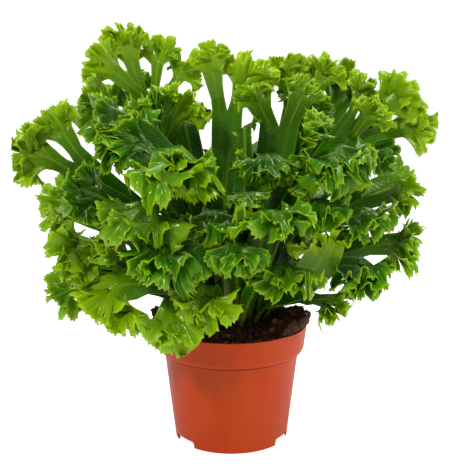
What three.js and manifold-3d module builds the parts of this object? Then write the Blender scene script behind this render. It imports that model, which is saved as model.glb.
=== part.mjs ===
// A crested bird's nest fern growing in a plastic nursery pot.
// Millimetres, +Z up. The origin is at the bottom centre of the pot and the front faces -Y.
import * as THREE from 'three';
import { mergeVertices } from 'three/addons/utils/BufferGeometryUtils.js';
import Module from 'manifold-3d';

const wasm = await Module();
wasm.setup();

// Driving sizes of the pot
const POT_HEIGHT = 92.6;
const RIM_RADIUS = 60;
const BAND_HEIGHT = 77;
const BAND_RADIUS = 57.9;
const NECK_HEIGHT = 70;
const NECK_RADIUS = 53.1;
const FOOT_RADIUS = 44.65;
const WALL = 1.2;
const FOOT_RING = 1.4;
const FLOOR_HEIGHT = 5.5;
const FLOOR_THICKNESS = 1.4;
const RIM_ROUND = 0.5;
const UNDERSIDE_STEPS = 2;
const NOTCH_ANGLES = [-145, -25, 95];
const NOTCH_SPAN = 30;
const NOTCH_HEIGHT = 5;
const NOTCH_ROUND = 2.5;
const DRAIN_HOLES = 6;
const DRAIN_RADIUS = 4;
const DRAIN_CIRCLE = 28;
const DRAIN_SIDES = 8;

// Driving sizes of the soil and of the crown that the fronds rise from
const CROWN_HEIGHT = 96;
const CROWN_RADIUS = 26;
const SOIL_EDGE_HEIGHT = 90;
const SOIL_EDGE_INSET = 2.5;
const SPILL_REACH = 2.2;
const SPILL_RISE = 3;
const STALK_DEPTH = 9;
const GAP = 0.3;
const STALK_GAP = 0.5;
const ROUND_SIDES = 36;

// Heaps of soil: the place of the top, how far it stands up and how wide it is
const HEAPS = [
  { x: 49, y: -20, height: 12, size: 10 },
  { x: -53, y: -6, height: 9, size: 9 },
  { x: 10, y: 46, height: 6, size: 14 },
];
// Where the soil spills over the rim: the angle from +X and how far round it goes
const SPILLS = [
  { angle: -12, span: 42 },
  { angle: 186, span: 40 },
];

// Driving sizes that all fronds share
const BLADE = 0.8;
const STALK_HALF_WIDTH = 2.3;
const ARM_FLARE = 1.35;
const STALK_THICKNESS = 2.6;
const RIBBON_STEPS = 24;
const STRAP_ROWS = [0, 0.07, 0.24, 0.44, 0.64, 0.84];
const SOIL_SHARES = [0.9, 0.72, 0.5, 0.24];

// How far the handles of a blade's curve reach, as shares of its length, and how strongly the
// blade turns toward its crests before its end
const LEAVE_HANDLE = 0.33;
const ARRIVE_HANDLE = 0.36;
const TURN_TO_CRESTS = 0.9;

// Shares that shape each crest: how deep a lobe's tip and the crest's two sides are cut, how far
// out the sides reach, how high the waves are, and how far the handles of its curves reach
const TIP_CUT = 0.16;
const SIDE_CUT = 0.22;
const SIDE_REACH = 0.66;
const WAVE_HEIGHT = 0.26;
const CREST_LEAVE_HANDLE = 0.36;
const CREST_ARRIVE_HANDLE = 0.34;

// The stalks stand on four rings: the radius, the number of places and the angle of the first
const RINGS = {
  inner: { radius: 7, places: 6, first: 30 },
  middle: { radius: 13, places: 11, first: 10.9 },
  outer: { radius: 19, places: 14, first: 2.1 },
  edge: { radius: 25, places: 15, first: 16 },
};

// Ways that a blade's upper side can face: the angle from +X and the angle above level
const UPRIGHT = [270, 15];
const FORWARD = [270, 45];
const LEFTWARD = [225, 35];
const RIGHTWARD = [315, 35];

// The fronds, from the upright ones in the middle to the arching ones at the sides and back. Each
// has its foot (ring and place), where its blade forks or broadens into crests, the tips of the
// crests, the half-widths of its blade halfway and at the fork, and a seed for its small waves.
const FRONDS = [
  {
    name: 'frond_top_left',
    foot: ['inner', 3],
    fork: [-63, 14, 277],
    halfWidths: [10, 12],
    rise: 92,
    facing: UPRIGHT,
    seed: 213,
    crests: [
      { tip: [-94, 4, 326], lobes: 5, spread: 150 },
      { tip: [-54, 22, 319], lobes: 3, spread: 110, share: 0.8 },
      { tip: [-26, 30, 295], lobes: 4, spread: 130, share: 0.8 },
    ],
  },
  {
    name: 'frond_top_centre',
    foot: ['inner', 2],
    fork: [-3, 26, 266],
    halfWidths: [10, 12],
    fold: 0.4,
    facing: UPRIGHT,
    seed: 58,
    crests: [
      { tip: [-20, 17, 311], lobes: 3, spread: 100, stem: 0.5 },
      { tip: [19, 23, 304], lobes: 4, spread: 130, stem: 0.35 },
    ],
  },
  {
    name: 'frond_centre_strap',
    foot: ['middle', 9],
    fork: [10, -7, 247],
    halfWidths: [9, 9],
    seed: 371,
    crests: [
      { tip: [9, 9, 230], lobes: 3, spread: 60, wave: 0.82 },
    ],
  },
  {
    name: 'frond_centre_right',
    foot: ['inner', 5],
    fork: [39, 14, 254],
    halfWidths: [12, 15],
    fold: 0.2,
    rise: 88,
    facing: UPRIGHT,
    seed: 147,
    crests: [
      { tip: [11, 1, 280], lobes: 4, spread: 130, stem: 0.45 },
      { tip: [62, 13, 284], lobes: 4, spread: 120, stem: 0.5 },
    ],
  },
  {
    name: 'frond_right_top',
    foot: ['inner', 0],
    fork: [57, 42, 265],
    halfWidths: [11, 13],
    facing: UPRIGHT,
    seed: 349,
    crests: [
      { tip: [40, 31, 306], lobes: 4, spread: 120, stem: 0.4, wave: 0.85 },
      { tip: [79, 48, 304], lobes: 5, spread: 120, stem: 0.4 },
    ],
  },
  {
    name: 'frond_top_right',
    foot: ['middle', 1],
    fork: [88, 64, 262],
    halfWidths: [11, 10],
    facing: UPRIGHT,
    seed: 15,
    crests: [
      { tip: [108, 70, 296], lobes: 4, spread: 140 },
    ],
  },
  {
    name: 'frond_right_big',
    foot: ['middle', 0],
    fork: [106, 13, 253],
    halfWidths: [14, 17],
    fold: 0.2,
    facing: RIGHTWARD,
    seed: 218,
    crests: [
      { tip: [162, 19, 246], lobes: 5, spread: 120, stem: 0.35 },
      { tip: [149, 11, 280], lobes: 5, spread: 110, stem: 0.35, wave: 0.85 },
      { tip: [113, 27, 287], lobes: 4, spread: 100, stem: 0.3, share: 0.7 },
    ],
  },
  {
    name: 'frond_right_dark',
    foot: ['outer', 2],
    fork: [110, 59, 223],
    halfWidths: [11, 10],
    facing: [285, 25],
    seed: 234,
    crests: [
      { tip: [143, 63, 236], lobes: 5, spread: 150, wave: 0.8 },
    ],
  },
  {
    name: 'frond_back_top',
    foot: ['outer', 3],
    fork: [72, 98, 236],
    halfWidths: [10, 10],
    facing: UPRIGHT,
    seed: 18,
    crests: [
      { tip: [76, 108, 263], lobes: 5, spread: 150 },
    ],
  },
  {
    name: 'frond_left_upper',
    foot: ['middle', 5],
    fork: [-84, 30, 251],
    halfWidths: [11, 13],
    facing: LEFTWARD,
    seed: 53,
    crests: [
      { tip: [-125, 34, 278], lobes: 5, spread: 130, stem: 0.3 },
      { tip: [-90, 50, 291], lobes: 4, spread: 110, stem: 0.3 },
    ],
  },
  {
    name: 'frond_left_dark',
    foot: ['middle', 6],
    fork: [-75, -40, 246],
    halfWidths: [12, 13],
    rise: 73,
    facing: [250, 25],
    seed: 209,
    crests: [
      { tip: [-109, -50, 233], lobes: 6, spread: 140, depth: 0.5, back: 0.05 },
    ],
  },
  {
    name: 'frond_left_long',
    foot: ['outer', 5],
    fork: [-123, -23, 228],
    halfWidths: [11, 13],
    facing: LEFTWARD,
    seed: 318,
    crests: [
      { tip: [-162, -35, 237], lobes: 5, spread: 120, stem: 0.25 },
      { tip: [-145, -15, 264], lobes: 4, spread: 100, stem: 0.35 },
    ],
  },
  {
    name: 'frond_left_fork',
    foot: ['outer', 6],
    fork: [-97, -44, 200],
    halfWidths: [10, 10],
    facing: LEFTWARD,
    seed: 147,
    crests: [
      { tip: [-129, -45, 206], lobes: 5, spread: 140 },
    ],
  },
  {
    name: 'frond_left_mid',
    foot: ['edge', 6],
    fork: [-122, 10, 182],
    halfWidths: [10, 11],
    facing: LEFTWARD,
    seed: 159,
    crests: [
      { tip: [-159, 8, 184], lobes: 5, spread: 140 },
    ],
  },
  {
    name: 'frond_left_mid_low',
    foot: ['edge', 8],
    fork: [-105, -26, 154],
    halfWidths: [10, 11],
    facing: LEFTWARD,
    seed: 26,
    crests: [
      { tip: [-145, -42, 157], lobes: 5, spread: 130 },
    ],
  },
  {
    name: 'frond_left_low',
    foot: ['edge', 7],
    fork: [-120, 8, 123],
    halfWidths: [10, 11],
    facing: LEFTWARD,
    seed: 27,
    crests: [
      { tip: [-153, 2, 119], lobes: 5, spread: 150 },
    ],
  },
  {
    name: 'frond_left_lowest',
    foot: ['edge', 9],
    fork: [-81, -46, 133],
    halfWidths: [11, 14],
    facing: [245, 30],
    seed: 28,
    crests: [
      { tip: [-106, -66, 105], lobes: 5, spread: 140, depth: 0.3 },
    ],
  },
  {
    name: 'frond_front_high_left',
    foot: ['middle', 7],
    fork: [-32, -64, 233],
    halfWidths: [11, 14],
    facing: FORWARD,
    seed: 304,
    crests: [
      { tip: [-33, -92, 205], lobes: 6, spread: 115 },
    ],
  },
  {
    name: 'frond_front_left',
    foot: ['outer', 7],
    fork: [-59, -62, 194],
    halfWidths: [10, 12],
    facing: FORWARD,
    seed: 32,
    crests: [
      { tip: [-82, -86, 175], lobes: 4, spread: 140 },
    ],
  },
  {
    name: 'frond_front_curly',
    foot: ['outer', 8],
    fork: [-44, -72, 172],
    halfWidths: [11, 13],
    facing: FORWARD,
    seed: 33,
    crests: [
      { tip: [-49, -98, 143], lobes: 6, spread: 125 },
    ],
  },
  {
    name: 'frond_front_small',
    foot: ['outer', 9],
    fork: [-14, -65, 136],
    halfWidths: [8, 8],
    facing: FORWARD,
    seed: 63,
    crests: [
      { tip: [-12, -80, 109], lobes: 4, spread: 115 },
    ],
  },
  {
    name: 'frond_over_rim',
    foot: ['edge', 10],
    fork: [-48, -72, 124],
    halfWidths: [8, 10],
    facing: FORWARD,
    seed: 35,
    crests: [
      { tip: [-47, -92, 98], lobes: 4, spread: 120 },
    ],
  },
  {
    name: 'frond_front_centre',
    foot: ['outer', 10],
    fork: [-12, -62, 190],
    halfWidths: [11, 11],
    facing: FORWARD,
    seed: 298,
    crests: [
      { tip: [-12, -76, 166], lobes: 5, spread: 125 },
    ],
  },
  {
    name: 'frond_centre_small',
    foot: ['middle', 8],
    fork: [10, -69, 205],
    halfWidths: [8, 8],
    facing: FORWARD,
    seed: 15,
    crests: [
      { tip: [12, -83, 192], lobes: 4, spread: 150 },
    ],
  },
  {
    name: 'frond_front_fold',
    foot: ['outer', 12],
    fork: [28, -82, 195],
    halfWidths: [10, 10],
    facing: FORWARD,
    seed: 38,
    crests: [
      { tip: [24, -112, 172], lobes: 4, spread: 140 },
    ],
  },
  {
    name: 'frond_right_front_upper',
    foot: ['middle', 10],
    fork: [72, -50, 231],
    halfWidths: [10, 12],
    facing: [290, 40],
    seed: 39,
    crests: [
      { tip: [87, -76, 206], lobes: 5, spread: 115 },
    ],
  },
  {
    name: 'frond_centre_right_low',
    foot: ['inner', 4],
    fork: [27, -39, 228],
    halfWidths: [9, 10],
    facing: FORWARD,
    seed: 398,
    crests: [
      { tip: [20, -42, 203], lobes: 5, spread: 120, wave: 0.94 },
    ],
  },
  {
    name: 'frond_right_low',
    foot: ['edge', 0],
    fork: [119, -20, 159],
    halfWidths: [11, 11],
    facing: RIGHTWARD,
    seed: 6,
    crests: [
      { tip: [149, -36, 152], lobes: 5, spread: 140, wave: 0.88 },
    ],
  },
  {
    name: 'frond_right_low_front',
    foot: ['edge', 13],
    fork: [92, -43, 147],
    halfWidths: [10, 10],
    facing: [285, 35],
    seed: 172,
    crests: [
      { tip: [99, -75, 128], lobes: 5, spread: 120 },
    ],
  },
  {
    name: 'frond_right_pale',
    foot: ['edge', 12],
    fork: [66, -56, 157],
    halfWidths: [12, 14],
    facing: [280, 10],
    seed: 371,
    crests: [
      { tip: [61, -70, 179], lobes: 5, spread: 120, wave: 1.2 },
    ],
  },
  {
    name: 'frond_right_lowest',
    foot: ['edge', 14],
    fork: [71, -20, 115],
    halfWidths: [8, 8],
    facing: RIGHTWARD,
    seed: 44,
    crests: [
      { tip: [91, -36, 109], lobes: 3, spread: 120 },
    ],
  },
  {
    name: 'frond_front_right_low',
    foot: ['edge', 11],
    fork: [36, -72, 152],
    halfWidths: [10, 11],
    facing: FORWARD,
    seed: 195,
    crests: [
      { tip: [36, -100, 133], lobes: 6, spread: 130 },
    ],
  },
  {
    name: 'frond_right_mid',
    foot: ['outer', 1],
    fork: [120, -6, 200],
    halfWidths: [12, 13],
    facing: RIGHTWARD,
    seed: 141,
    crests: [
      { tip: [149, -16, 198], lobes: 5, spread: 160 },
    ],
  },
  {
    name: 'frond_right_inner',
    foot: ['outer', 0],
    fork: [92, -46, 185],
    halfWidths: [9, 10],
    facing: [290, 40],
    seed: 61,
    crests: [
      { tip: [108, -70, 173], lobes: 5, spread: 120 },
    ],
  },
  {
    name: 'frond_front_right',
    foot: ['outer', 13],
    fork: [59, -58, 197],
    halfWidths: [9, 10],
    facing: FORWARD,
    seed: 48,
    crests: [
      { tip: [65, -81, 176], lobes: 4, spread: 140 },
    ],
  },
  {
    name: 'frond_front_low_centre',
    foot: ['outer', 11],
    fork: [3, -84, 171],
    halfWidths: [8, 9],
    facing: FORWARD,
    seed: 49,
    crests: [
      { tip: [3, -106, 150], lobes: 4, spread: 110 },
    ],
  },
  {
    name: 'frond_back_left',
    foot: ['middle', 3],
    fork: [-37, 41, 243],
    halfWidths: [10, 10],
    facing: UPRIGHT,
    seed: 293,
    crests: [
      { tip: [-41, 61, 265], lobes: 5, spread: 140, wave: 0.83 },
    ],
  },
  {
    name: 'frond_rear_1',
    foot: ['edge', 1],
    fork: [65, 50, 152],
    halfWidths: [11, 11],
    facing: [38, 55],
    seed: 70,
    crests: [
      { tip: [84, 65, 128], lobes: 5, spread: 155 },
    ],
  },
  {
    name: 'frond_rear_2',
    foot: ['edge', 2],
    fork: [49, 70, 130],
    halfWidths: [11, 11],
    facing: [55, 55],
    seed: 279,
    crests: [
      { tip: [62, 88, 104], lobes: 5, spread: 155 },
    ],
  },
  {
    name: 'frond_rear_3',
    foot: ['outer', 4],
    fork: [13, 73, 156],
    halfWidths: [11, 11],
    facing: [80, 55],
    seed: 72,
    crests: [
      { tip: [17, 97, 135], lobes: 5, spread: 155 },
    ],
  },
  {
    name: 'frond_rear_4',
    foot: ['edge', 3],
    fork: [-24, 83, 132],
    halfWidths: [11, 11],
    facing: [106, 55],
    seed: 73,
    crests: [
      { tip: [-30, 104, 106], lobes: 5, spread: 155 },
    ],
  },
  {
    name: 'frond_rear_5',
    foot: ['edge', 4],
    fork: [-49, 58, 152],
    halfWidths: [11, 11],
    facing: [130, 55],
    seed: 31,
    crests: [
      { tip: [-66, 78, 130], lobes: 5, spread: 155 },
    ],
  },
  {
    name: 'frond_rear_6',
    foot: ['edge', 5],
    fork: [-74, 39, 126],
    halfWidths: [11, 11],
    facing: [152, 55],
    seed: 75,
    crests: [
      { tip: [-93, 50, 100], lobes: 5, spread: 155 },
    ],
  },
  {
    name: 'frond_rear_7',
    foot: ['inner', 1],
    fork: [4, 54, 224],
    halfWidths: [11, 11],
    facing: [86, 55],
    seed: 76,
    crests: [
      { tip: [6, 85, 218], lobes: 5, spread: 155 },
    ],
  },
  {
    name: 'frond_rear_8',
    foot: ['middle', 2],
    fork: [-17, 71, 193],
    halfWidths: [11, 11],
    facing: [106, 55],
    seed: 77,
    crests: [
      { tip: [-26, 100, 178], lobes: 5, spread: 155 },
    ],
  },
  {
    name: 'frond_rear_9',
    foot: ['middle', 4],
    fork: [-52, 46, 193],
    halfWidths: [11, 11],
    facing: [142, 55],
    seed: 91,
    crests: [
      { tip: [-73, 55, 184], lobes: 5, spread: 155 },
    ],
  },
];

const vector = (x, y, z) => new THREE.Vector3(x, y, z);
const unit = (v) => v.clone().normalize();
const radians = THREE.MathUtils.degToRad;
const smooth = (from, to, x) => THREE.MathUtils.smoothstep(x, from, to);
const mix = THREE.MathUtils.lerp;
const UP = vector(0, 0, 1);

// Adds up vectors, each times its own number: sum(a, 2, b, 3) is 2a + 3b
function sum(...terms) {
  const total = vector(0, 0, 0);
  for (let i = 0; i < terms.length; i += 2) total.addScaledVector(terms[i], terms[i + 1]);
  return total;
}

function direction(azimuth, elevation) {
  const level = Math.cos(radians(elevation));
  return vector(
    level * Math.cos(radians(azimuth)),
    level * Math.sin(radians(azimuth)),
    Math.sin(radians(elevation)),
  );
}

// A repeatable source of small differences, so that each run grows the same plant
function seeded(seed) {
  let state = seed >>> 0;
  const draw = (low = 0, high = 1) => {
    state = (Math.imul(state, 1664525) + 1013904223) >>> 0;
    return low + ((high - low) * state) / 4294967296;
  };
  for (let i = 0; i < 3; i += 1) draw();
  return draw;
}

// A blade along a cubic curve. Its normal travels without twist and then rolls smoothly, so that
// the far end faces the given way. u runs from -1 to 1 across it and v from 0 to 1 along it.
class Ribbon {
  constructor({ controls, normal, halfWidth, face, fold = 0 }) {
    this.curve = new THREE.CubicBezierCurve3(...controls);
    this.halfWidth = halfWidth;
    this.fold = fold;
    this.normals = [];
    let carried = normal.clone();
    for (let i = 0; i <= RIBBON_STEPS; i += 1) {
      const along = this.along(i / RIBBON_STEPS);
      carried = unit(sum(carried, 1, along, -carried.dot(along)));
      this.normals.push(carried);
    }
    const across = this.along(1).cross(carried);
    const roll = face ? Math.atan2(-face.dot(across), face.dot(carried)) : 0;
    this.normals = this.normals.map((n, i) => {
      const turn = roll * smooth(0, 1, i / RIBBON_STEPS);
      return sum(n, Math.cos(turn), this.along(i / RIBBON_STEPS).cross(n), -Math.sin(turn));
    });
  }

  along(v) {
    const [a, b, c, d] = [this.curve.v0, this.curve.v1, this.curve.v2, this.curve.v3];
    const w = 1 - v;
    return unit(sum(
      a, -w * w,
      b, w * w - 2 * w * v,
      c, 2 * w * v - v * v,
      d, v * v,
    ));
  }

  frame(v) {
    const along = this.along(v);
    const step = Math.min(Math.floor(v * RIBBON_STEPS), RIBBON_STEPS - 1);
    const part = v * RIBBON_STEPS - step;
    const mixed = sum(this.normals[step], 1 - part, this.normals[step + 1], part);
    const normal = unit(sum(mixed, 1, along, -mixed.dot(along)));
    return { along, normal, across: along.clone().cross(normal) };
  }

  at(u, v) {
    const { normal, across } = this.frame(v);
    const width = this.halfWidth(v);
    const raised = this.fold * Math.abs(u) * smooth(0.12, 0.4, v) * (1 - smooth(0.7, 1, v));
    return sum(this.curve.getPoint(v), 1, across, width * u, normal, width * raised);
  }
}

// The fan-shaped crest at the end of a blade: rounded lobes, each cut again at its tip, on a
// surface that spreads from the blade's end and waves more and more toward its edge.
class Crest {
  constructor({ centre, half, along, across, face, crest, draw }) {
    const { lobes, spread, depth = 0.42, wave = 1, back = 0.12 } = crest;
    const tip = vector(...crest.tip);
    const reach = tip.distanceTo(centre);
    const middle = sum(tip, 1 / reach, centre, -1 / reach);
    const front = unit(sum(face, 1, middle, -face.dot(middle)));
    const side = middle.clone().cross(front);
    const turn = radians(spread);
    const spot = (angle, radius, lift) => sum(
      centre, 1,
      middle, reach * radius * Math.cos(angle),
      side, reach * radius * Math.sin(angle) + half * 0.45 * Math.sin(angle),
      front, reach * lift,
    );
    this.lobes = lobes;
    this.left = sum(centre, 1, across, -half);
    this.right = sum(centre, 1, across, half);
    this.along = along;
    const tips = [];
    for (let i = 0; i < lobes; i += 1) {
      const offset = Math.abs((2 * (i + 0.5)) / lobes - 1);
      const radius = (1 - 0.16 * offset * offset) * draw(0.9, 1.06);
      tips.push(spot(((i + 0.5) / lobes - 0.5) * turn, radius, draw(-0.1, 0.1) - back * offset));
    }
    const last = Math.min(turn * 0.5 * (1 + 0.35 / lobes), radians(80));
    const [first, final] = [-last, last].map((angle) => spot(angle, SIDE_REACH, -back * 1.2));
    this.rim = [first, ...tips, final];
    this.rimPlaces = [-1, ...tips.map((_, i) => (2 * i + 1) / lobes - 1), 1];
    this.tipCuts = tips.map(() => TIP_CUT * draw(0.85, 1.15));
    this.gapCuts = [SIDE_CUT, ...tips.slice(1).map(() => depth * draw(0.8, 1.2)), SIDE_CUT];
    this.tipLengths = tips.map(() => [-0.5, 0.5].map((end) => 1 - draw(0, 0.1) - 0.08 * Math.abs(end)));
    this.waveHeight = ((reach * turn) / lobes) * WAVE_HEIGHT * wave;
    this.longWave = { count: lobes * draw(0.42, 0.6), phase: draw(0, 2 * Math.PI) };
    this.shortWave = { count: lobes * draw(1, 1.4), phase: draw(0, 2 * Math.PI) };
  }

  // A smooth curve through the rim's spots
  rimPoint(u) {
    const count = this.rim.length;
    let i = this.rimPlaces.findLastIndex((place) => place <= u);
    i = Math.min(Math.max(i, 0), count - 2);
    const t = (u - this.rimPlaces[i]) / (this.rimPlaces[i + 1] - this.rimPlaces[i]);
    const a = this.rim[Math.max(i - 1, 0)];
    const b = this.rim[i];
    const c = this.rim[i + 1];
    const d = this.rim[Math.min(i + 2, count - 1)];
    return sum(
      a, 0.5 * t * (-1 + t * (2 - t)),
      b, 1 + 0.5 * t * t * (-5 + 3 * t),
      c, 0.5 * t * (1 + t * (4 - 3 * t)),
      d, 0.5 * t * t * (t - 1),
    );
  }

  // How far out the edge reaches at u, as a share of the way to the rim
  reachAt(u) {
    const place = ((u + 1) / 2) * this.lobes;
    const lobe = Math.min(Math.max(Math.floor(place - 1e-9), 0), this.lobes - 1);
    const half = Math.min(Math.max(Math.floor((place - lobe) * 2 - 1e-9), 0), 1);
    const within = (place - lobe) * 2 - half;
    const top = this.tipLengths[lobe][half];
    const outer = within < 0.5 ? half === 0 : half === 1;
    const gap = 1 - this.gapCuts[within < 0.5 ? lobe : lobe + 1];
    const edge = outer ? gap : 0.95 - this.tipCuts[lobe];
    return top + (edge - top) * Math.abs(2 * within - 1) ** 2.6;
  }

  flat(u, v) {
    const t = (u + 1) / 2;
    const root = sum(this.left, 1 - t, this.right, t);
    const tip = this.rimPoint(u);
    const length = tip.distanceTo(root);
    const chord = sum(tip, 1 / length, root, -1 / length);
    const splay = 0.5 * Math.abs(2 * t - 1);
    const leave = unit(sum(this.along, 1 - splay, chord, splay));
    const mirrored = 2 * chord.dot(this.along);
    const arrive = unit(sum(chord, 0.25 * mirrored + 0.75, this.along, -0.25, UP, -0.25));
    const w = 1 - v;
    return sum(
      root, w ** 3 + 3 * w * w * v,
      leave, 3 * w * w * v * length * CREST_LEAVE_HANDLE,
      tip, 3 * w * v * v + v ** 3,
      arrive, -3 * w * v * v * length * CREST_ARRIVE_HANDLE,
    );
  }

  at(u, share) {
    const v = share * (1 - (1 - this.reachAt(u)) * smooth(0.2, 1, share));
    const step = 1e-3;
    const low = Math.max(u - step, -1);
    const high = Math.min(u + step, 1);
    const acrossWay = this.flat(high, v).sub(this.flat(low, v));
    const alongWay = this.flat(u, Math.min(v + step, 1)).sub(this.flat(u, Math.max(v - step, 0)));
    const normal = unit(acrossWay.cross(alongWay));
    const y = (u + 1) / 2;
    const long = Math.sin(2 * Math.PI * this.longWave.count * y + this.longWave.phase);
    const short = Math.sin(2 * Math.PI * this.shortWave.count * y + this.shortWave.phase);
    const height = this.waveHeight * v ** 1.6 * (long + 0.45 * short * v);
    return sum(this.flat(u, v), 1, normal, height);
  }
}

// A surface of triangles without thickness, made row by row
class Sheet {
  constructor() {
    this.points = [];
    this.thickness = [];
    this.triangles = [];
  }

  row(surface, places, v, thickness) {
    return places.map((u) => {
      this.points.push(surface.at(u, v));
      this.thickness.push(thickness);
      return { u, index: this.points.length - 1 };
    });
  }

  // Fills the strip between two rows that can have different numbers of points
  fill(lower, upper) {
    let i = 0;
    let j = 0;
    while (i < lower.length - 1 || j < upper.length - 1) {
      const lowerDone = i === lower.length - 1;
      const upperDone = j === upper.length - 1;
      const ahead = lowerDone || upperDone ? 0 : lower[i + 1].u - upper[j + 1].u;
      const level = Math.abs(ahead) < 1e-9;
      const stepLower = upperDone || (!lowerDone && ahead <= 1e-9 && !(level && (i + j) % 2));
      if (stepLower) {
        this.triangles.push([lower[i].index, lower[i + 1].index, upper[j].index]);
        i += 1;
      } else {
        this.triangles.push([lower[i].index, upper[j + 1].index, upper[j].index]);
        j += 1;
      }
    }
  }

  // The closed solid: both faces have the same triangles, half the thickness to each side
  solid() {
    const normals = this.points.map(() => vector(0, 0, 0));
    for (const [a, b, c] of this.triangles) {
      const [p, q, r] = [this.points[a], this.points[b], this.points[c]];
      const area = q.clone().sub(p).cross(r.clone().sub(p));
      for (const corner of [a, b, c]) normals[corner].add(area);
    }
    const count = this.points.length;
    const offset = (side) => this.points.map(
      (p, i) => sum(p, 1, unit(normals[i]), (side * this.thickness[i]) / 2),
    );
    const faces = [];
    const edges = new Set();
    for (const [a, b, c] of this.triangles) {
      faces.push([a, b, c], [c + count, b + count, a + count]);
      for (const edge of [[a, b], [b, c], [c, a]]) edges.add(edge.join());
    }
    for (const edge of edges) {
      const [a, b] = edge.split(',').map(Number);
      if (!edges.has([b, a].join())) faces.push([a, a + count, b + count], [a, b + count, b]);
    }
    return geometryOf([...offset(1), ...offset(-1)].flatMap((p) => p.toArray()), faces.flat());
  }
}

function geometryOf(positions, index) {
  const geometry = new THREE.BufferGeometry();
  geometry.setAttribute('position', new THREE.BufferAttribute(new Float32Array(positions), 3));
  geometry.setIndex(new THREE.BufferAttribute(new Uint32Array(index), 1));
  return geometry;
}

// A strap is thick at its stalk and thins to a blade
function strapThickness(v) {
  return BLADE + (STALK_THICKNESS - BLADE) * (1 - smooth(0.12, 0.4, v));
}

// One frond: a stalk that broadens into a strap, which ends in one crest or forks into several.
// Every surface hands the row that it ends on to the next one, so the frond stays one sheet.
function growFrond(frond) {
  const { foot: [ringName, place], halfWidths: [middleHalf, forkHalf], fold = 0.3, crests } = frond;
  const ring = RINGS[ringName];
  const footWay = direction(ring.first + (360 * place) / ring.places, 0);
  const foot = sum(footWay, ring.radius, UP, CROWN_HEIGHT - STALK_DEPTH);
  const top = sum(foot, 1, UP, STALK_DEPTH);
  const fork = vector(...frond.fork);
  const tips = crests.map((crest) => vector(...crest.tip));
  const chord = fork.clone().sub(top);
  const length = chord.length();
  const azimuth = THREE.MathUtils.radToDeg(Math.atan2(chord.y, chord.x));
  const slope = THREE.MathUtils.radToDeg(Math.atan2(chord.z, Math.hypot(chord.x, chord.y)));
  const rise = frond.rise ?? slope + (90 - slope) * 0.55;
  const spread = unit(sum(...tips.flatMap((tip) => [unit(tip.clone().sub(fork)), 1])));
  const arrive = unit(sum(unit(chord), 1, spread, TURN_TO_CRESTS));
  const face = frond.facing ? direction(...frond.facing) : null;
  const strap = new Ribbon({
    controls: [
      foot,
      sum(top, 1, direction(azimuth, rise), length * LEAVE_HANDLE),
      sum(fork, 1, arrive, -length * ARRIVE_HANDLE),
      fork,
    ],
    normal: direction(azimuth + 180, 0),
    halfWidth: (v) => STALK_HALF_WIDTH + (middleHalf - STALK_HALF_WIDTH) * smooth(0.12, 0.66, v)
      + (forkHalf - middleHalf) * smooth(0.55, 1, v),
    face,
    fold,
  });
  const { along, across, normal } = strap.frame(1);
  const last = crests.length - 1;
  const reversed = last > 0 && tips[last].clone().sub(tips[0]).dot(across) < 0;
  const ordered = reversed ? crests.toReversed() : crests;
  const shares = ordered.map((crest) => crest.share ?? 1);
  const total = shares.reduce((a, b) => a + b);

  const sheet = new Sheet();
  const rows = STRAP_ROWS.map((v) => sheet.row(strap, [-1, 0, 1], v, strapThickness(v)));
  const edges = [-1];
  for (const share of shares) {
    const start = edges.at(-1);
    edges.push(start + share / total, start + (2 * share) / total);
  }
  rows.push(sheet.row(strap, edges, 1, BLADE));
  rows.slice(1).forEach((row, i) => sheet.fill(rows[i], row));

  const draw = seeded(frond.seed);
  const end = rows.at(-1);
  ordered.forEach((crest, i) => {
    const half = (forkHalf * shares[i]) / total;
    const from = spanOf(end, i);
    const root = sum(fork, 1, across, forkHalf * edges[2 * i + 1]);
    const stem = crest.stem ?? (crests.length === 1 ? 0 : 0.42);
    const way = { centre: root, half, along, across, face: face ?? normal, crest, draw };
    if (stem === 0) {
      addCrest(sheet, from, way);
    } else {
      addBranch(sheet, from, way, stem, normal);
    }
  });
  return { sheet, strap };
}

// The three points that one crest or branch starts from, as a row of its own
function spanOf(row, i) {
  return row.slice(2 * i, 2 * i + 3).map(({ index }, j) => ({ u: j - 1, index }));
}

// A short arm between the fork and its crest
function addBranch(sheet, from, way, stem, normal) {
  const { centre, half, along, crest, draw } = way;
  const reach = vector(...crest.tip).sub(centre);
  const end = sum(centre, 1, reach, stem, UP, reach.length() * 0.05);
  const length = end.distanceTo(centre);
  const endHalf = half * ARM_FLARE;
  const branch = new Ribbon({
    controls: [
      centre,
      sum(centre, 1, along, length * 0.4),
      sum(end, 1, unit(sum(unit(reach), 0.8, along, 0.4)), -length * ARRIVE_HANDLE),
      end,
    ],
    normal,
    halfWidth: (v) => half + (endHalf - half) * smooth(0, 1, v),
    face: way.face,
  });
  const middle = sheet.row(branch, [-1, 0, 1], 0.5, BLADE);
  const last = sheet.row(branch, [-1, 0, 1], 1, BLADE);
  sheet.fill(from, middle);
  sheet.fill(middle, last);
  const frame = branch.frame(1);
  addCrest(sheet, last, { ...frame, centre: end, half: endHalf, face: way.face, crest, draw });
}

function addCrest(sheet, from, way) {
  const crest = new Crest(way);
  const { lobes } = crest;
  const evenly = (steps) => Array.from({ length: steps + 1 }, (_, i) => (2 * i) / steps - 1);
  const rim = [-1];
  for (let half = 0; half < 2 * lobes; half += 1) {
    for (const part of [0.24, 0.76, 1]) rim.push((half + part) / lobes - 1);
  }
  let previous = from;
  [[evenly(lobes), 0.33], [evenly(2 * lobes), 0.66], [rim, 1]].forEach(([across, v]) => {
    const row = sheet.row(crest, across, v, BLADE);
    sheet.fill(previous, row);
    previous = row;
  });
}

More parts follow.
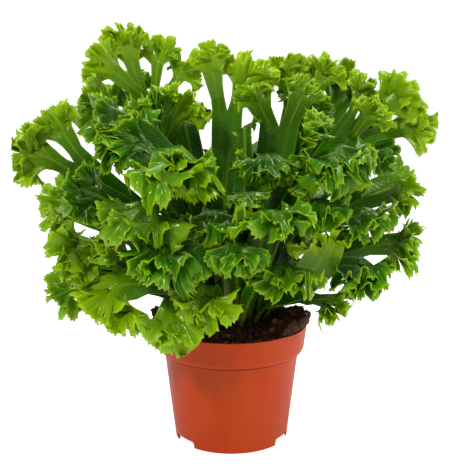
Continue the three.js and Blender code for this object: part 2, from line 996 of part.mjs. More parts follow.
// A closed solid for joining and cutting, from a geometry whose faces may point either way
function solidOf(geometry) {
  geometry.deleteAttribute('normal');
  geometry.deleteAttribute('uv');
  const merged = mergeVertices(geometry, 1e-3);
  const vertProperties = merged.attributes.position.array;
  const corner = (i) => vector(...vertProperties.slice(3 * i, 3 * i + 3));
  const triangles = [];
  let volume = 0;
  for (let i = 0; i < merged.index.count; i += 3) {
    const [a, b, c] = merged.index.array.slice(i, i + 3);
    if (a !== b && b !== c && c !== a) {
      triangles.push([a, b, c]);
      volume += corner(a).dot(corner(b).cross(corner(c)));
    }
  }
  const triVerts = new Uint32Array(triangles.flatMap((t) => (volume < 0 ? t.toReversed() : t)));
  return new wasm.Manifold(new wasm.Mesh({ numProp: 3, vertProperties, triVerts }));
}

function geometryFrom(manifold) {
  const { vertProperties, triVerts } = manifold.getMesh();
  return geometryOf(vertProperties, triVerts);
}

// The radius of the pot's outside at a height, without the rounded underside of its rim band
function outsideRadius(z) {
  if (z <= NECK_HEIGHT) {
    return FOOT_RADIUS + ((NECK_RADIUS - FOOT_RADIUS) * z) / NECK_HEIGHT;
  }
  const band = (z - BAND_HEIGHT) / (POT_HEIGHT - BAND_HEIGHT);
  return BAND_RADIUS + (RIM_RADIUS - BAND_RADIUS) * Math.max(band, 0);
}

// The quarter curve where the body turns out into the band, moved in by the given amount
function bandUnderside(inset) {
  const points = [];
  for (let i = 1; i < UNDERSIDE_STEPS; i += 1) {
    const angle = (Math.PI / 2) * (i / UNDERSIDE_STEPS);
    points.push(new THREE.Vector2(
      NECK_RADIUS - inset + (BAND_RADIUS - NECK_RADIUS) * Math.sin(angle),
      BAND_HEIGHT - (BAND_HEIGHT - NECK_HEIGHT) * Math.cos(angle),
    ));
  }
  return points;
}

function turned(profile) {
  const geometry = new THREE.LatheGeometry(profile, ROUND_SIDES);
  geometry.rotateX(Math.PI / 2);
  return solidOf(geometry);
}

// The thin moulding: body, rim band, raised floor, foot ring with its notches, and drain holes
function makePot() {
  const at = (x, y) => new THREE.Vector2(x, y);
  const inside = (z) => outsideRadius(z) - WALL;
  const floorTop = FLOOR_HEIGHT + FLOOR_THICKNESS;
  let pot = turned([
    at(0, FLOOR_HEIGHT),
    at(FOOT_RADIUS - FOOT_RING, FLOOR_HEIGHT),
    at(FOOT_RADIUS - FOOT_RING, 0),
    at(FOOT_RADIUS, 0),
    at(NECK_RADIUS, NECK_HEIGHT),
    ...bandUnderside(0),
    at(BAND_RADIUS, BAND_HEIGHT),
    at(RIM_RADIUS, POT_HEIGHT - RIM_ROUND),
    at(RIM_RADIUS - RIM_ROUND, POT_HEIGHT),
    at(RIM_RADIUS - WALL, POT_HEIGHT - RIM_ROUND),
    at(BAND_RADIUS - WALL, BAND_HEIGHT),
    ...bandUnderside(WALL).reverse(),
    at(NECK_RADIUS - WALL, NECK_HEIGHT),
    at(inside(floorTop), floorTop),
    at(0, floorTop),
  ]);
  for (const angle of NOTCH_ANGLES) pot = pot.subtract(footNotch(angle));
  for (let i = 0; i < DRAIN_HOLES; i += 1) {
    const hole = new THREE.CylinderGeometry(DRAIN_RADIUS, DRAIN_RADIUS, 2 * floorTop, DRAIN_SIDES);
    const centre = direction((360 * i) / DRAIN_HOLES, 0).multiplyScalar(DRAIN_CIRCLE);
    hole.rotateX(Math.PI / 2);
    hole.translate(centre.x, centre.y, floorTop);
    pot = pot.subtract(solidOf(hole));
  }
  return geometryFrom(pot);
}

// A low arch that is cut straight through the foot ring
function footNotch(azimuth) {
  const half = FOOT_RADIUS * Math.sin(radians(NOTCH_SPAN / 2));
  const arch = new THREE.Shape();
  arch.moveTo(-half, -1);
  arch.lineTo(half, -1);
  arch.lineTo(half, NOTCH_HEIGHT - NOTCH_ROUND);
  arch.quadraticCurveTo(half, NOTCH_HEIGHT, half - NOTCH_ROUND, NOTCH_HEIGHT);
  arch.lineTo(NOTCH_ROUND - half, NOTCH_HEIGHT);
  arch.quadraticCurveTo(-half, NOTCH_HEIGHT, -half, NOTCH_HEIGHT - NOTCH_ROUND);
  const depth = 4 * FOOT_RING;
  const geometry = new THREE.ExtrudeGeometry(arch, { depth, bevelEnabled: false, curveSegments: 3 });
  const outward = direction(azimuth, 0);
  const basis = new THREE.Matrix4().makeBasis(UP.clone().cross(outward), UP, outward);
  basis.setPosition(outward.multiplyScalar(FOOT_RADIUS - 3 * FOOT_RING));
  geometry.applyMatrix4(basis);
  return solidOf(geometry);
}

// The height of the soil, which rises from its edge to the crown and is heaped up in places
function soilHeight(x, y, edgeHeight) {
  const fall = smooth(CROWN_RADIUS, RIM_RADIUS, Math.hypot(x, y));
  const base = mix(CROWN_HEIGHT, edgeHeight, fall);
  return HEAPS.reduce((height, heap) => {
    const away = ((x - heap.x) ** 2 + (y - heap.y) ** 2) / heap.size ** 2;
    return height + heap.height * Math.exp(-away / 2);
  }, base);
}

// The soil fills the pot inside its wall and spills over the rim beside its two largest heaps
function makeSoil(straps) {
  const bottom = FLOOR_HEIGHT + FLOOR_THICKNESS + GAP;
  const inside = (z) => outsideRadius(Math.min(z, POT_HEIGHT)) - WALL - GAP;
  const rings = [];
  for (let i = 0; i < ROUND_SIDES; i += 1) {
    const angle = (360 * i) / ROUND_SIDES;
    const spill = Math.max(...SPILLS.map((s) => {
      const away = Math.abs(((angle - s.angle + 540) % 360) - 180);
      return 1 - smooth(s.span * 0.3, s.span, away);
    }));
    const raised = smooth(0, 0.5, spill);
    const out = smooth(0.5, 1, spill);
    const wallTop = mix(SOIL_EDGE_HEIGHT - 1, POT_HEIGHT + 2 * GAP, raised);
    const edgeHeight = mix(SOIL_EDGE_HEIGHT, POT_HEIGHT + SPILL_RISE, raised);
    const edge = mix(RIM_RADIUS - SOIL_EDGE_INSET, RIM_RADIUS + SPILL_REACH, out);
    const section = [
      [inside(bottom), bottom],
      [inside(NECK_HEIGHT), NECK_HEIGHT],
      [inside(BAND_HEIGHT), BAND_HEIGHT],
      [inside(wallTop), wallTop],
      [edge, edgeHeight],
    ];
    for (const share of SOIL_SHARES) section.push([edge * share, null]);
    const way = direction(angle, 0);
    rings.push(section.map(([radius, z]) => {
      const { x, y } = way.clone().multiplyScalar(radius);
      return vector(x, y, z ?? soilHeight(x, y, edgeHeight));
    }));
  }
  const steps = rings[0].length;
  const points = [...rings.flat(), vector(0, 0, bottom), vector(0, 0, soilHeight(0, 0, SOIL_EDGE_HEIGHT))];
  const faces = [];
  rings.forEach((_, i) => {
    const here = i * steps;
    const next = ((i + 1) % ROUND_SIDES) * steps;
    faces.push(here, steps * ROUND_SIDES, next);
    faces.push(here + steps - 1, next + steps - 1, steps * ROUND_SIDES + 1);
    for (let k = 0; k < steps - 1; k += 1) {
      faces.push(here + k, next + k, next + k + 1, here + k, next + k + 1, here + k + 1);
    }
  });
  const soil = solidOf(geometryOf(points.flatMap((p) => p.toArray()), faces));
  return geometryFrom(straps.reduce((rest, strap) => rest.subtract(stalkHole(strap)), soil));
}

// The hole that a stalk stands in: the lower end of its strap, wider all round by the gap
function stalkHole(strap) {
  const sheet = new Sheet();
  const rows = STRAP_ROWS.slice(0, 3).map((v) => {
    const edge = 1 + STALK_GAP / strap.halfWidth(v);
    return sheet.row(strap, [-edge, edge], v, strapThickness(v) + 2 * STALK_GAP);
  });
  for (const point of sheet.points.slice(0, 2)) point.z -= STALK_GAP;
  sheet.fill(rows[0], rows[1]);
  sheet.fill(rows[1], rows[2]);
  return solidOf(sheet.solid());
}

const shades = {
  leaf: { roughness: 0.35, metalness: 0 },
  pot: { color: 0xb8441f, roughness: 0.4, metalness: 0 },
  soil: { color: 0x2a1c14, roughness: 0.95, metalness: 0 },
};

const plant = new THREE.Group();

function addMesh(name, geometry, look) {
  const mesh = new THREE.Mesh(geometry, new THREE.MeshStandardMaterial(look));
  mesh.name = name;
  plant.add(mesh);
}

const grown = FRONDS.map((frond) => ({ frond, ...growFrond(frond) }));
addMesh('pot', makePot(), shades.pot);
addMesh('soil', makeSoil(grown.map(({ strap }) => strap)), shades.soil);
for (const { frond, sheet } of grown) {
  // Fronds whose crests stand highest are the youngest and palest
  const youth = smooth(150, 290, frond.fork[2]);
  const color = new THREE.Color(0x2f6b1c).lerp(new THREE.Color(0x6f9a2e), youth);
  addMesh(frond.name, sheet.solid(), { ...shades.leaf, color });
}

export default plant;
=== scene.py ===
"""A crested bird's nest fern in a plastic nursery pot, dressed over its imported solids.

Sizes are in millimetres until a mesh is made, which is in metres. +Z is up, the origin is at the
bottom centre of the pot and the front of the plant faces -Y.
"""

from __future__ import annotations

import logging
import math
from dataclasses import dataclass, field, replace
from enum import Enum

import bmesh
import bpy
import numpy as np
from mathutils import Matrix, Vector

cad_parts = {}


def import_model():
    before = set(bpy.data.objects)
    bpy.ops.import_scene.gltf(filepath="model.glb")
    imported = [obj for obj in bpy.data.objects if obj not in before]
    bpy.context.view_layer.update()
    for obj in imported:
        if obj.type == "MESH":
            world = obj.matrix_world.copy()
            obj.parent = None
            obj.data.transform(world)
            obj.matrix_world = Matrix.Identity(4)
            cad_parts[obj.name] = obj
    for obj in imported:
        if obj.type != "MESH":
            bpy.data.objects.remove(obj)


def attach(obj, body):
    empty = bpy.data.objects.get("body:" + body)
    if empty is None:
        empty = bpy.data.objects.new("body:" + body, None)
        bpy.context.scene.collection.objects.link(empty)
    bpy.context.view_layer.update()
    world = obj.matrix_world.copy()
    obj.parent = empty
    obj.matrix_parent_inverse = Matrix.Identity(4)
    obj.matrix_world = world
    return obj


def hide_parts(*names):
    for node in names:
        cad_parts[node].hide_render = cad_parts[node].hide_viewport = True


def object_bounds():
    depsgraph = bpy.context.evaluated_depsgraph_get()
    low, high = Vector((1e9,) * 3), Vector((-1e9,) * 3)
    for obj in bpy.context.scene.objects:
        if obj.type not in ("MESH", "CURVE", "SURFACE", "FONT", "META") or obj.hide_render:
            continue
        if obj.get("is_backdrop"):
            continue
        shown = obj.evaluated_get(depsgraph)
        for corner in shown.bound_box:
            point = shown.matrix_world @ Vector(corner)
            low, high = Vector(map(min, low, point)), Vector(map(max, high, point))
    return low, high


log = logging.getLogger("fern")

Array = np.ndarray
Socket = bpy.types.NodeSocket
Tree = bpy.types.NodeTree
Material = bpy.types.Material
Piece = bpy.types.Object
Pair = tuple[float, float]
Point = tuple[float, float, float]
Colour = tuple[int, int, int]
Value = float | tuple[float, ...] | Socket

MM = 0.001
UP = np.array([0.0, 0.0, 1.0])
WORD = 2**32
HASH_FACTORS = (374761393, 668265263, 2147483647)
HASH_SPREAD = 1274126177
HASH_SHIFTS = (13, 16)
TINY = 1e-12


def unit(rows: Array) -> Array:
    """Scales each row to length one."""
    return rows / np.maximum(np.linalg.norm(rows, axis=-1, keepdims=True), TINY)


def smooth(low: float, high: float, x: Array | float) -> Array:
    """Rises from 0 at low to 1 at high as 3t^2 - 2t^3."""
    t = np.clip((np.asarray(x, float) - low) / (high - low), 0.0, 1.0)
    return t * t * (3.0 - 2.0 * t)


def direction(azimuth: float, elevation: float) -> Array:
    """The unit vector at an angle from +X and an angle above level, both in degrees."""
    a, e = math.radians(azimuth), math.radians(elevation)
    return np.array([math.cos(e) * math.cos(a), math.cos(e) * math.sin(a), math.sin(e)])


def hashed(cells: Array, seed: int) -> Array:
    """Mixes each row of whole numbers by multiplying and shifting, the same way on each run.

    Args:
        cells: The whole numbers, three a row.
        seed: Chooses one table among many.

    Returns:
        A number from 0 to 1 for each row.
    """
    mixed = np.uint32(seed)
    for axis, factor in enumerate(HASH_FACTORS):
        mixed = mixed + cells[..., axis].astype(np.int64).astype(np.uint32) * np.uint32(factor)
        mixed = (mixed ^ (mixed >> np.uint32(HASH_SHIFTS[0]))) * np.uint32(HASH_SPREAD)
    return (mixed ^ (mixed >> np.uint32(HASH_SHIFTS[1]))).astype(float) / (WORD - 1)


def value_noise(points: Array, size: float, octaves: int, seed: int) -> Array:
    """Soft noise about 0: hashed lattice values blended smoothly, halved in size each octave.

    Args:
        points: Places, one a row.
        size: The distance between lattice points of the first octave.
        octaves: How many layers are added, each half as large and half as strong.
        seed: Chooses one noise among many.

    Returns:
        One value for each point, mostly from -0.5 to 0.5.
    """
    total = np.zeros(points.shape[:-1])
    for octave in range(octaves):
        scaled = points * (2**octave / size)
        cell = np.floor(scaled)
        part = scaled - cell
        blend = part * part * (3.0 - 2.0 * part)
        layer = np.zeros_like(total)
        for corner in np.ndindex(2, 2, 2):
            offset = np.array(corner)
            weight = np.prod(np.where(offset == 1, blend, 1.0 - blend), axis=-1)
            layer += weight * hashed(cell + offset, seed + octave)
        total += (layer - 0.5) / 2**octave
    return total


def cubic(v: Array, a: Array, b: Array, c: Array, d: Array) -> Array:
    """The cubic curve w^3 a + 3 w^2 v b + 3 w v^2 c + v^3 d, where w is 1 - v.

    Args:
        v: The places along the curve, each from 0 to 1 in a row of its own.
        a: Where the curve starts.
        b: The point that it leaves toward.
        c: The point that it arrives from.
        d: Where it ends.

    Returns:
        The point at each place.
    """
    w = 1.0 - v
    return w**3 * a + 3 * w * w * v * b + 3 * w * v * v * c + v**3 * d


def table_cells(rows: int, columns: int, layer: int) -> Array:
    """The row, column and layer of each place in a table, as whole numbers to hash."""
    places = np.broadcast_arrays(np.arange(rows)[:, None], np.arange(columns), layer)
    return np.stack(places, -1)


class Draws:
    """A repeatable source of small differences, so that each run grows the same plant."""

    FACTOR = 1664525
    STEP = 1013904223

    def __init__(self, seed: int) -> None:
        """Starts the row of numbers and drops its first three.

        Args:
            seed: Chooses one row among many.
        """
        self.state = seed
        for _ in range(3):
            self.draw()

    def draw(self, low: float = 0.0, high: float = 1.0) -> float:
        """The next number between low and high."""
        self.state = (self.state * self.FACTOR + self.STEP) % WORD
        return low + (high - low) * self.state / WORD


class Ring(Enum):
    """The rings that the stalks stand on: the radius, the number of places and the first angle."""

    INNER = (7.0, 6, 30.0)
    MIDDLE = (13.0, 11, 10.9)
    OUTER = (19.0, 14, 2.1)
    EDGE = (25.0, 15, 16.0)

    def foot(self, place: int) -> Array:
        """The point on the soil's level where the stalk of a numbered place stands."""
        radius, places, first = self.value
        return direction(first + 360.0 * place / places, 0.0) * radius


class Facing(Enum):
    """Where a blade's upper side faces: the angle from +X and the angle above level."""

    UPRIGHT = (270.0, 15.0)
    FORWARD = (270.0, 45.0)
    LEFTWARD = (225.0, 35.0)
    RIGHTWARD = (315.0, 35.0)


@dataclass(frozen=True)
class CrestPlan:
    """One crest: its tip, how many lobes it has and how wide it fans, in degrees.

    The stem is the arm's share of the way from the fork to the tip, the share is the crest's part
    of the fork, the depth is how deep its gaps are cut, the wave scales its waves and back is how
    far its sides lean behind its middle.
    """

    tip: Point
    lobes: int
    spread: float
    stem: float | None = None
    share: float = 1.0
    depth: float = 0.42
    wave: float = 1.0
    back: float = 0.12


@dataclass(frozen=True)
class ShootPlan:
    """A side crest: its place along the strap, its half-width there, its tip, lobes and age."""

    place: float
    half_width: float
    tip: Point
    lobes: int
    age: float
    spread: float = 150
    stem: float = 0.4
    depth: float = 0.45

    @property
    def crest(self) -> CrestPlan:
        """The plan of its crest."""
        return CrestPlan(self.tip, self.lobes, self.spread, stem=self.stem, depth=self.depth)


@dataclass(frozen=True)
class FrondPlan:
    """One frond: its foot, its fork, its half-widths halfway and at the fork, and its crests.

    The seed chooses its small differences and the facing is the way that its upper side faces at
    the fork, or None where it is left as it comes. The fold lifts both halves of the blade from
    the rib, the rise is the slope in degrees at which it leaves the soil, and the age is how pale
    its green is: 0 is dark and 1 is yellow-green.
    """

    name: str
    foot: tuple[Ring, int]
    fork: Point
    half_widths: Pair
    seed: int
    facing: Pair | None
    crests: tuple[CrestPlan, ...]
    fold: float = 0.3
    rise: float | None = None
    age: float = 0.4
    shoots: tuple[ShootPlan, ...] = ()


# The fronds that the photograph shows.
FRONT_PLANS = (
    FrondPlan(
        "frond_top_left", (Ring.INNER, 3), (-63, 14, 277), (10, 12), 213, Facing.UPRIGHT.value,
        (
            CrestPlan((-88, 4, 326), 5, 85, depth=0.5),
            CrestPlan((-54, 22, 319), 3, 110, share=0.8),
            CrestPlan((-26, 30, 295), 4, 130, share=0.8),
        ),
        rise=92, age=0.8,
        shoots=(
            ShootPlan(0.72, 6, (-75, -26, 272), 6, 0.35),
            ShootPlan(0.8, 5, (-27, -8, 276), 5, 0.7),
            ShootPlan(0.96, 5, (-112, -4, 302), 4, 0.8, spread=120, stem=0.55, depth=0.5),
        ),
    ),
    FrondPlan(
        "frond_top_centre", (Ring.INNER, 2), (-3, 26, 266), (10, 12), 58, Facing.UPRIGHT.value,
        (
            CrestPlan((-20, 17, 311), 3, 100, stem=0.5),
            CrestPlan((19, 23, 304), 4, 130, stem=0.35),
        ),
        fold=0.4, age=0.95,
    ),
    FrondPlan(
        "frond_centre_strap", (Ring.MIDDLE, 9), (10, -7, 247), (9, 6), 371, None,
        (CrestPlan((9, 9, 230), 3, 60, wave=0.82),), age=0.1,
    ),
    FrondPlan(
        "frond_centre_right", (Ring.INNER, 5), (39, 14, 254), (12, 15), 147, Facing.UPRIGHT.value,
        (
            CrestPlan((11, 1, 280), 4, 130, stem=0.45),
            CrestPlan((62, 13, 284), 4, 120, stem=0.5),
        ),
        fold=0.2, rise=88, age=0.6,
    ),
    FrondPlan(
        "frond_right_top", (Ring.INNER, 0), (57, 42, 265), (11, 13), 349, Facing.UPRIGHT.value,
        (
            CrestPlan((40, 31, 306), 4, 120, stem=0.4, wave=0.85),
            CrestPlan((79, 48, 304), 5, 120, stem=0.4),
        ),
        age=0.8, shoots=(ShootPlan(0.82, 5, (66, 12, 284), 5, 0.4),),
    ),
    FrondPlan(
        "frond_top_right", (Ring.MIDDLE, 1), (88, 64, 262), (11, 10), 15, Facing.UPRIGHT.value,
        (CrestPlan((108, 70, 296), 4, 140),), age=0.5,
    ),
    FrondPlan(
        "frond_right_big", (Ring.MIDDLE, 0), (106, 13, 253), (14, 17), 218, Facing.RIGHTWARD.value,
        (
            CrestPlan((168, 14, 247), 5, 120, stem=0.35),
            CrestPlan((149, 11, 280), 5, 110, stem=0.35, wave=0.85),
            CrestPlan((113, 27, 287), 4, 100, stem=0.3, share=0.7),
        ),
        fold=0.2, age=0.75, shoots=(ShootPlan(0.93, 4, (118, -6, 268), 4, 0.7),),
    ),
    FrondPlan(
        "frond_right_dark", (Ring.OUTER, 2), (110, 59, 223), (11, 10), 234, (285, 25),
        (CrestPlan((143, 63, 236), 5, 150, wave=0.8),), age=0.0,
    ),
    FrondPlan(
        "frond_back_top", (Ring.OUTER, 3), (72, 98, 236), (10, 10), 18, Facing.UPRIGHT.value,
        (CrestPlan((76, 108, 263), 5, 150),), age=0.1,
    ),
    FrondPlan(
        "frond_left_upper", (Ring.MIDDLE, 5), (-84, 30, 251), (11, 13), 53, Facing.LEFTWARD.value,
        (
            CrestPlan((-125, 34, 278), 5, 130, stem=0.3),
            CrestPlan((-90, 50, 291), 4, 110, stem=0.3),
        ),
        age=0.6,
    ),
    FrondPlan(
        "frond_left_dark", (Ring.MIDDLE, 6), (-75, -40, 246), (12, 13), 209, (250, 25),
        (CrestPlan((-109, -50, 233), 6, 140, depth=0.5, back=0.05),), rise=73, age=0.1,
        shoots=(ShootPlan(0.7, 5, (-88, -48, 262), 5, 0.25, spread=140),),
    ),
    FrondPlan(
        "frond_left_long", (Ring.OUTER, 5), (-123, -23, 228), (11, 13), 318, Facing.LEFTWARD.value,
        (
            CrestPlan((-170, -35, 236), 5, 120, stem=0.25),
            CrestPlan((-145, -15, 264), 4, 100, stem=0.35),
        ),
        age=0.7,
    ),
    FrondPlan(
        "frond_left_fork", (Ring.OUTER, 6), (-97, -44, 200), (10, 10), 147, Facing.LEFTWARD.value,
        (CrestPlan((-129, -45, 206), 5, 140),), age=0.05,
    ),
    FrondPlan(
        "frond_left_mid", (Ring.EDGE, 6), (-122, 10, 182), (10, 11), 159, Facing.LEFTWARD.value,
        (CrestPlan((-159, 8, 184), 5, 140),), age=0.7,
    ),
    FrondPlan(
        "frond_left_mid_low", (Ring.EDGE, 8), (-105, -26, 154), (10, 11), 26, Facing.LEFTWARD.value,
        (CrestPlan((-145, -42, 157), 5, 130),), age=0.65,
        shoots=(ShootPlan(0.72, 5, (-92, -48, 187), 5, 0.5, stem=0.35),),
    ),
    FrondPlan(
        "frond_left_low", (Ring.EDGE, 7), (-120, 8, 123), (10, 11), 27, Facing.LEFTWARD.value,
        (CrestPlan((-153, 2, 119), 5, 150),), age=0.55,
        shoots=(ShootPlan(0.72, 5, (-104, -30, 158), 5, 0.35, stem=0.35),),
    ),
    FrondPlan(
        "frond_left_lowest", (Ring.EDGE, 9), (-81, -46, 133), (11, 14), 28, (245, 30),
        (CrestPlan((-106, -66, 105), 5, 140, depth=0.3),), age=0.8,
    ),
    FrondPlan(
        "frond_front_high_left", (Ring.MIDDLE, 7), (-45, -60, 235), (11, 11), 304,
        Facing.FORWARD.value, (CrestPlan((-26, -90, 194), 5, 86),), age=0.5,
        shoots=(ShootPlan(0.9, 6, (-56, -82, 204), 4, 0.6, stem=0.3, depth=0.5),),
    ),
    FrondPlan(
        "frond_front_left", (Ring.OUTER, 7), (-59, -62, 194), (10, 9), 32, Facing.FORWARD.value,
        (CrestPlan((-75, -90, 167), 4, 165),), age=0.5,
    ),
    FrondPlan(
        "frond_front_curly", (Ring.OUTER, 8), (-44, -72, 172), (11, 10), 33, Facing.FORWARD.value,
        (CrestPlan((-40, -101, 137), 6, 162),), age=0.2,
    ),
    FrondPlan(
        "frond_front_small", (Ring.OUTER, 9), (-21, -66, 136), (8, 8), 63, Facing.FORWARD.value,
        (CrestPlan((-28, -90, 110), 4, 130),), age=0.7,
    ),
    FrondPlan(
        "frond_over_rim", (Ring.EDGE, 10), (-43, -74, 124), (8, 8), 35, Facing.FORWARD.value,
        (CrestPlan((-40, -94, 93), 3, 83),), age=0.65,
    ),
    FrondPlan(
        "frond_front_centre", (Ring.OUTER, 10), (-12, -62, 190), (11, 9), 298, Facing.FORWARD.value,
        (CrestPlan((-12, -76, 166), 5, 162),), age=0.25,
    ),
    FrondPlan(
        "frond_centre_small", (Ring.MIDDLE, 8), (10, -69, 205), (8, 8), 15, Facing.FORWARD.value,
        (CrestPlan((12, -83, 192), 4, 165),), age=0.3,
    ),
    FrondPlan(
        "frond_front_fold", (Ring.OUTER, 12), (28, -82, 195), (10, 8), 38, Facing.FORWARD.value,
        (CrestPlan((24, -112, 172), 4, 165),), age=0.45,
    ),
    FrondPlan(
        "frond_right_front_upper", (Ring.MIDDLE, 10), (72, -50, 231), (10, 12), 39, (290, 40),
        (CrestPlan((90, -76, 203), 5, 140),), age=0.15,
        shoots=(
            ShootPlan(0.75, 6, (62, -48, 264), 6, 0.1, stem=0.25),
            ShootPlan(0.92, 6, (56, -74, 202), 5, 0.15, stem=0.35),
        ),
    ),
    FrondPlan(
        "frond_centre_right_low", (Ring.INNER, 4), (27, -39, 228), (9, 8), 398,
        Facing.FORWARD.value, (CrestPlan((26, -58, 200), 6, 156, wave=0.94),), age=0.1,
    ),
    FrondPlan(
        "frond_right_low", (Ring.EDGE, 0), (119, -20, 159), (11, 11), 6, Facing.RIGHTWARD.value,
        (CrestPlan((149, -36, 152), 5, 140, wave=0.88),), age=0.6,
    ),
    FrondPlan(
        "frond_right_low_front", (Ring.EDGE, 13), (92, -43, 147), (10, 10), 172, (285, 35),
        (CrestPlan((99, -75, 128), 5, 120),), age=0.35,
    ),
    FrondPlan(
        "frond_right_pale", (Ring.EDGE, 12), (66, -56, 157), (12, 14), 371, (280, 10),
        (CrestPlan((61, -70, 179), 5, 120, wave=1.2),), age=0.85,
    ),
    FrondPlan(
        "frond_right_lowest", (Ring.EDGE, 14), (71, -20, 115), (8, 8), 44, Facing.RIGHTWARD.value,
        (CrestPlan((91, -36, 109), 3, 120),), age=0.7,
    ),
    FrondPlan(
        "frond_front_right_low", (Ring.EDGE, 11), (36, -72, 152), (10, 9), 195,
        Facing.FORWARD.value, (CrestPlan((36, -100, 133), 6, 165),), age=0.45,
    ),
    FrondPlan(
        "frond_right_mid", (Ring.OUTER, 1), (120, -6, 200), (12, 13), 141, Facing.RIGHTWARD.value,
        (CrestPlan((149, -16, 198), 5, 160),), age=0.6,
    ),
    FrondPlan(
        "frond_right_inner", (Ring.OUTER, 0), (92, -46, 185), (9, 10), 61, (290, 40),
        (CrestPlan((108, -70, 173), 5, 120),), age=0.3,
    ),
    FrondPlan(
        "frond_front_right", (Ring.OUTER, 13), (59, -58, 197), (9, 8), 48, Facing.FORWARD.value,
        (CrestPlan((65, -81, 176), 4, 165),), age=0.3,
    ),
    FrondPlan(
        "frond_front_low_centre", (Ring.OUTER, 11), (3, -84, 171), (8, 7), 49, Facing.FORWARD.value,
        (CrestPlan((3, -106, 150), 4, 143),), age=0.35,
    ),
    FrondPlan(
        "frond_back_left", (Ring.MIDDLE, 3), (-37, 41, 243), (10, 10), 293, Facing.UPRIGHT.value,
        (CrestPlan((-41, 61, 265), 5, 140, wave=0.83),), age=0.05,
    ),
)

# The fronds behind, which the photograph hides: the foot, the fork, the seed, the azimuth that the
# upper side faces and the tip. What they have in common comes first.
REAR_HALF_WIDTHS = (11, 11)
REAR_LOBES = 5
REAR_SPREAD = 155
REAR_ELEVATION = 55
REAR_PLANS = (
    ((Ring.EDGE, 1), (65, 50, 152), 70, 38, (84, 65, 128)),
    ((Ring.EDGE, 2), (49, 70, 130), 279, 55, (62, 88, 104)),
    ((Ring.OUTER, 4), (13, 73, 156), 72, 80, (17, 97, 135)),
    ((Ring.EDGE, 3), (-24, 83, 132), 73, 106, (-30, 104, 106)),
    ((Ring.EDGE, 4), (-49, 58, 152), 31, 130, (-66, 78, 130)),
    ((Ring.EDGE, 5), (-74, 39, 126), 75, 152, (-93, 50, 100)),
    ((Ring.INNER, 1), (4, 54, 224), 76, 86, (6, 85, 218)),
    ((Ring.MIDDLE, 2), (-17, 71, 193), 77, 106, (-26, 100, 178)),
    ((Ring.MIDDLE, 4), (-52, 46, 193), 91, 142, (-73, 55, 184)),
)


def rear_frond(
    number: int, foot: tuple[Ring, int], fork: Point, seed: int, azimuth: float, tip: Point
) -> FrondPlan:
    """Plans a frond behind, which has one broad crest that hangs outward.

    Args:
        number: Its number, which its name ends with.
        foot: The ring and place that it stands on.
        fork: Where its crest starts.
        seed: Chooses its small differences.
        azimuth: The angle from +X that its upper side faces, in degrees.
        tip: The tip of its crest.

    Returns:
        The frond's plan.
    """
    crest = CrestPlan(tip, REAR_LOBES, REAR_SPREAD)
    facing = (azimuth, REAR_ELEVATION)
    return FrondPlan(f"frond_rear_{number}", foot, fork, REAR_HALF_WIDTHS, seed, facing, (crest,))


FROND_PLANS = FRONT_PLANS + tuple(rear_frond(i, *row) for i, row in enumerate(REAR_PLANS, 1))


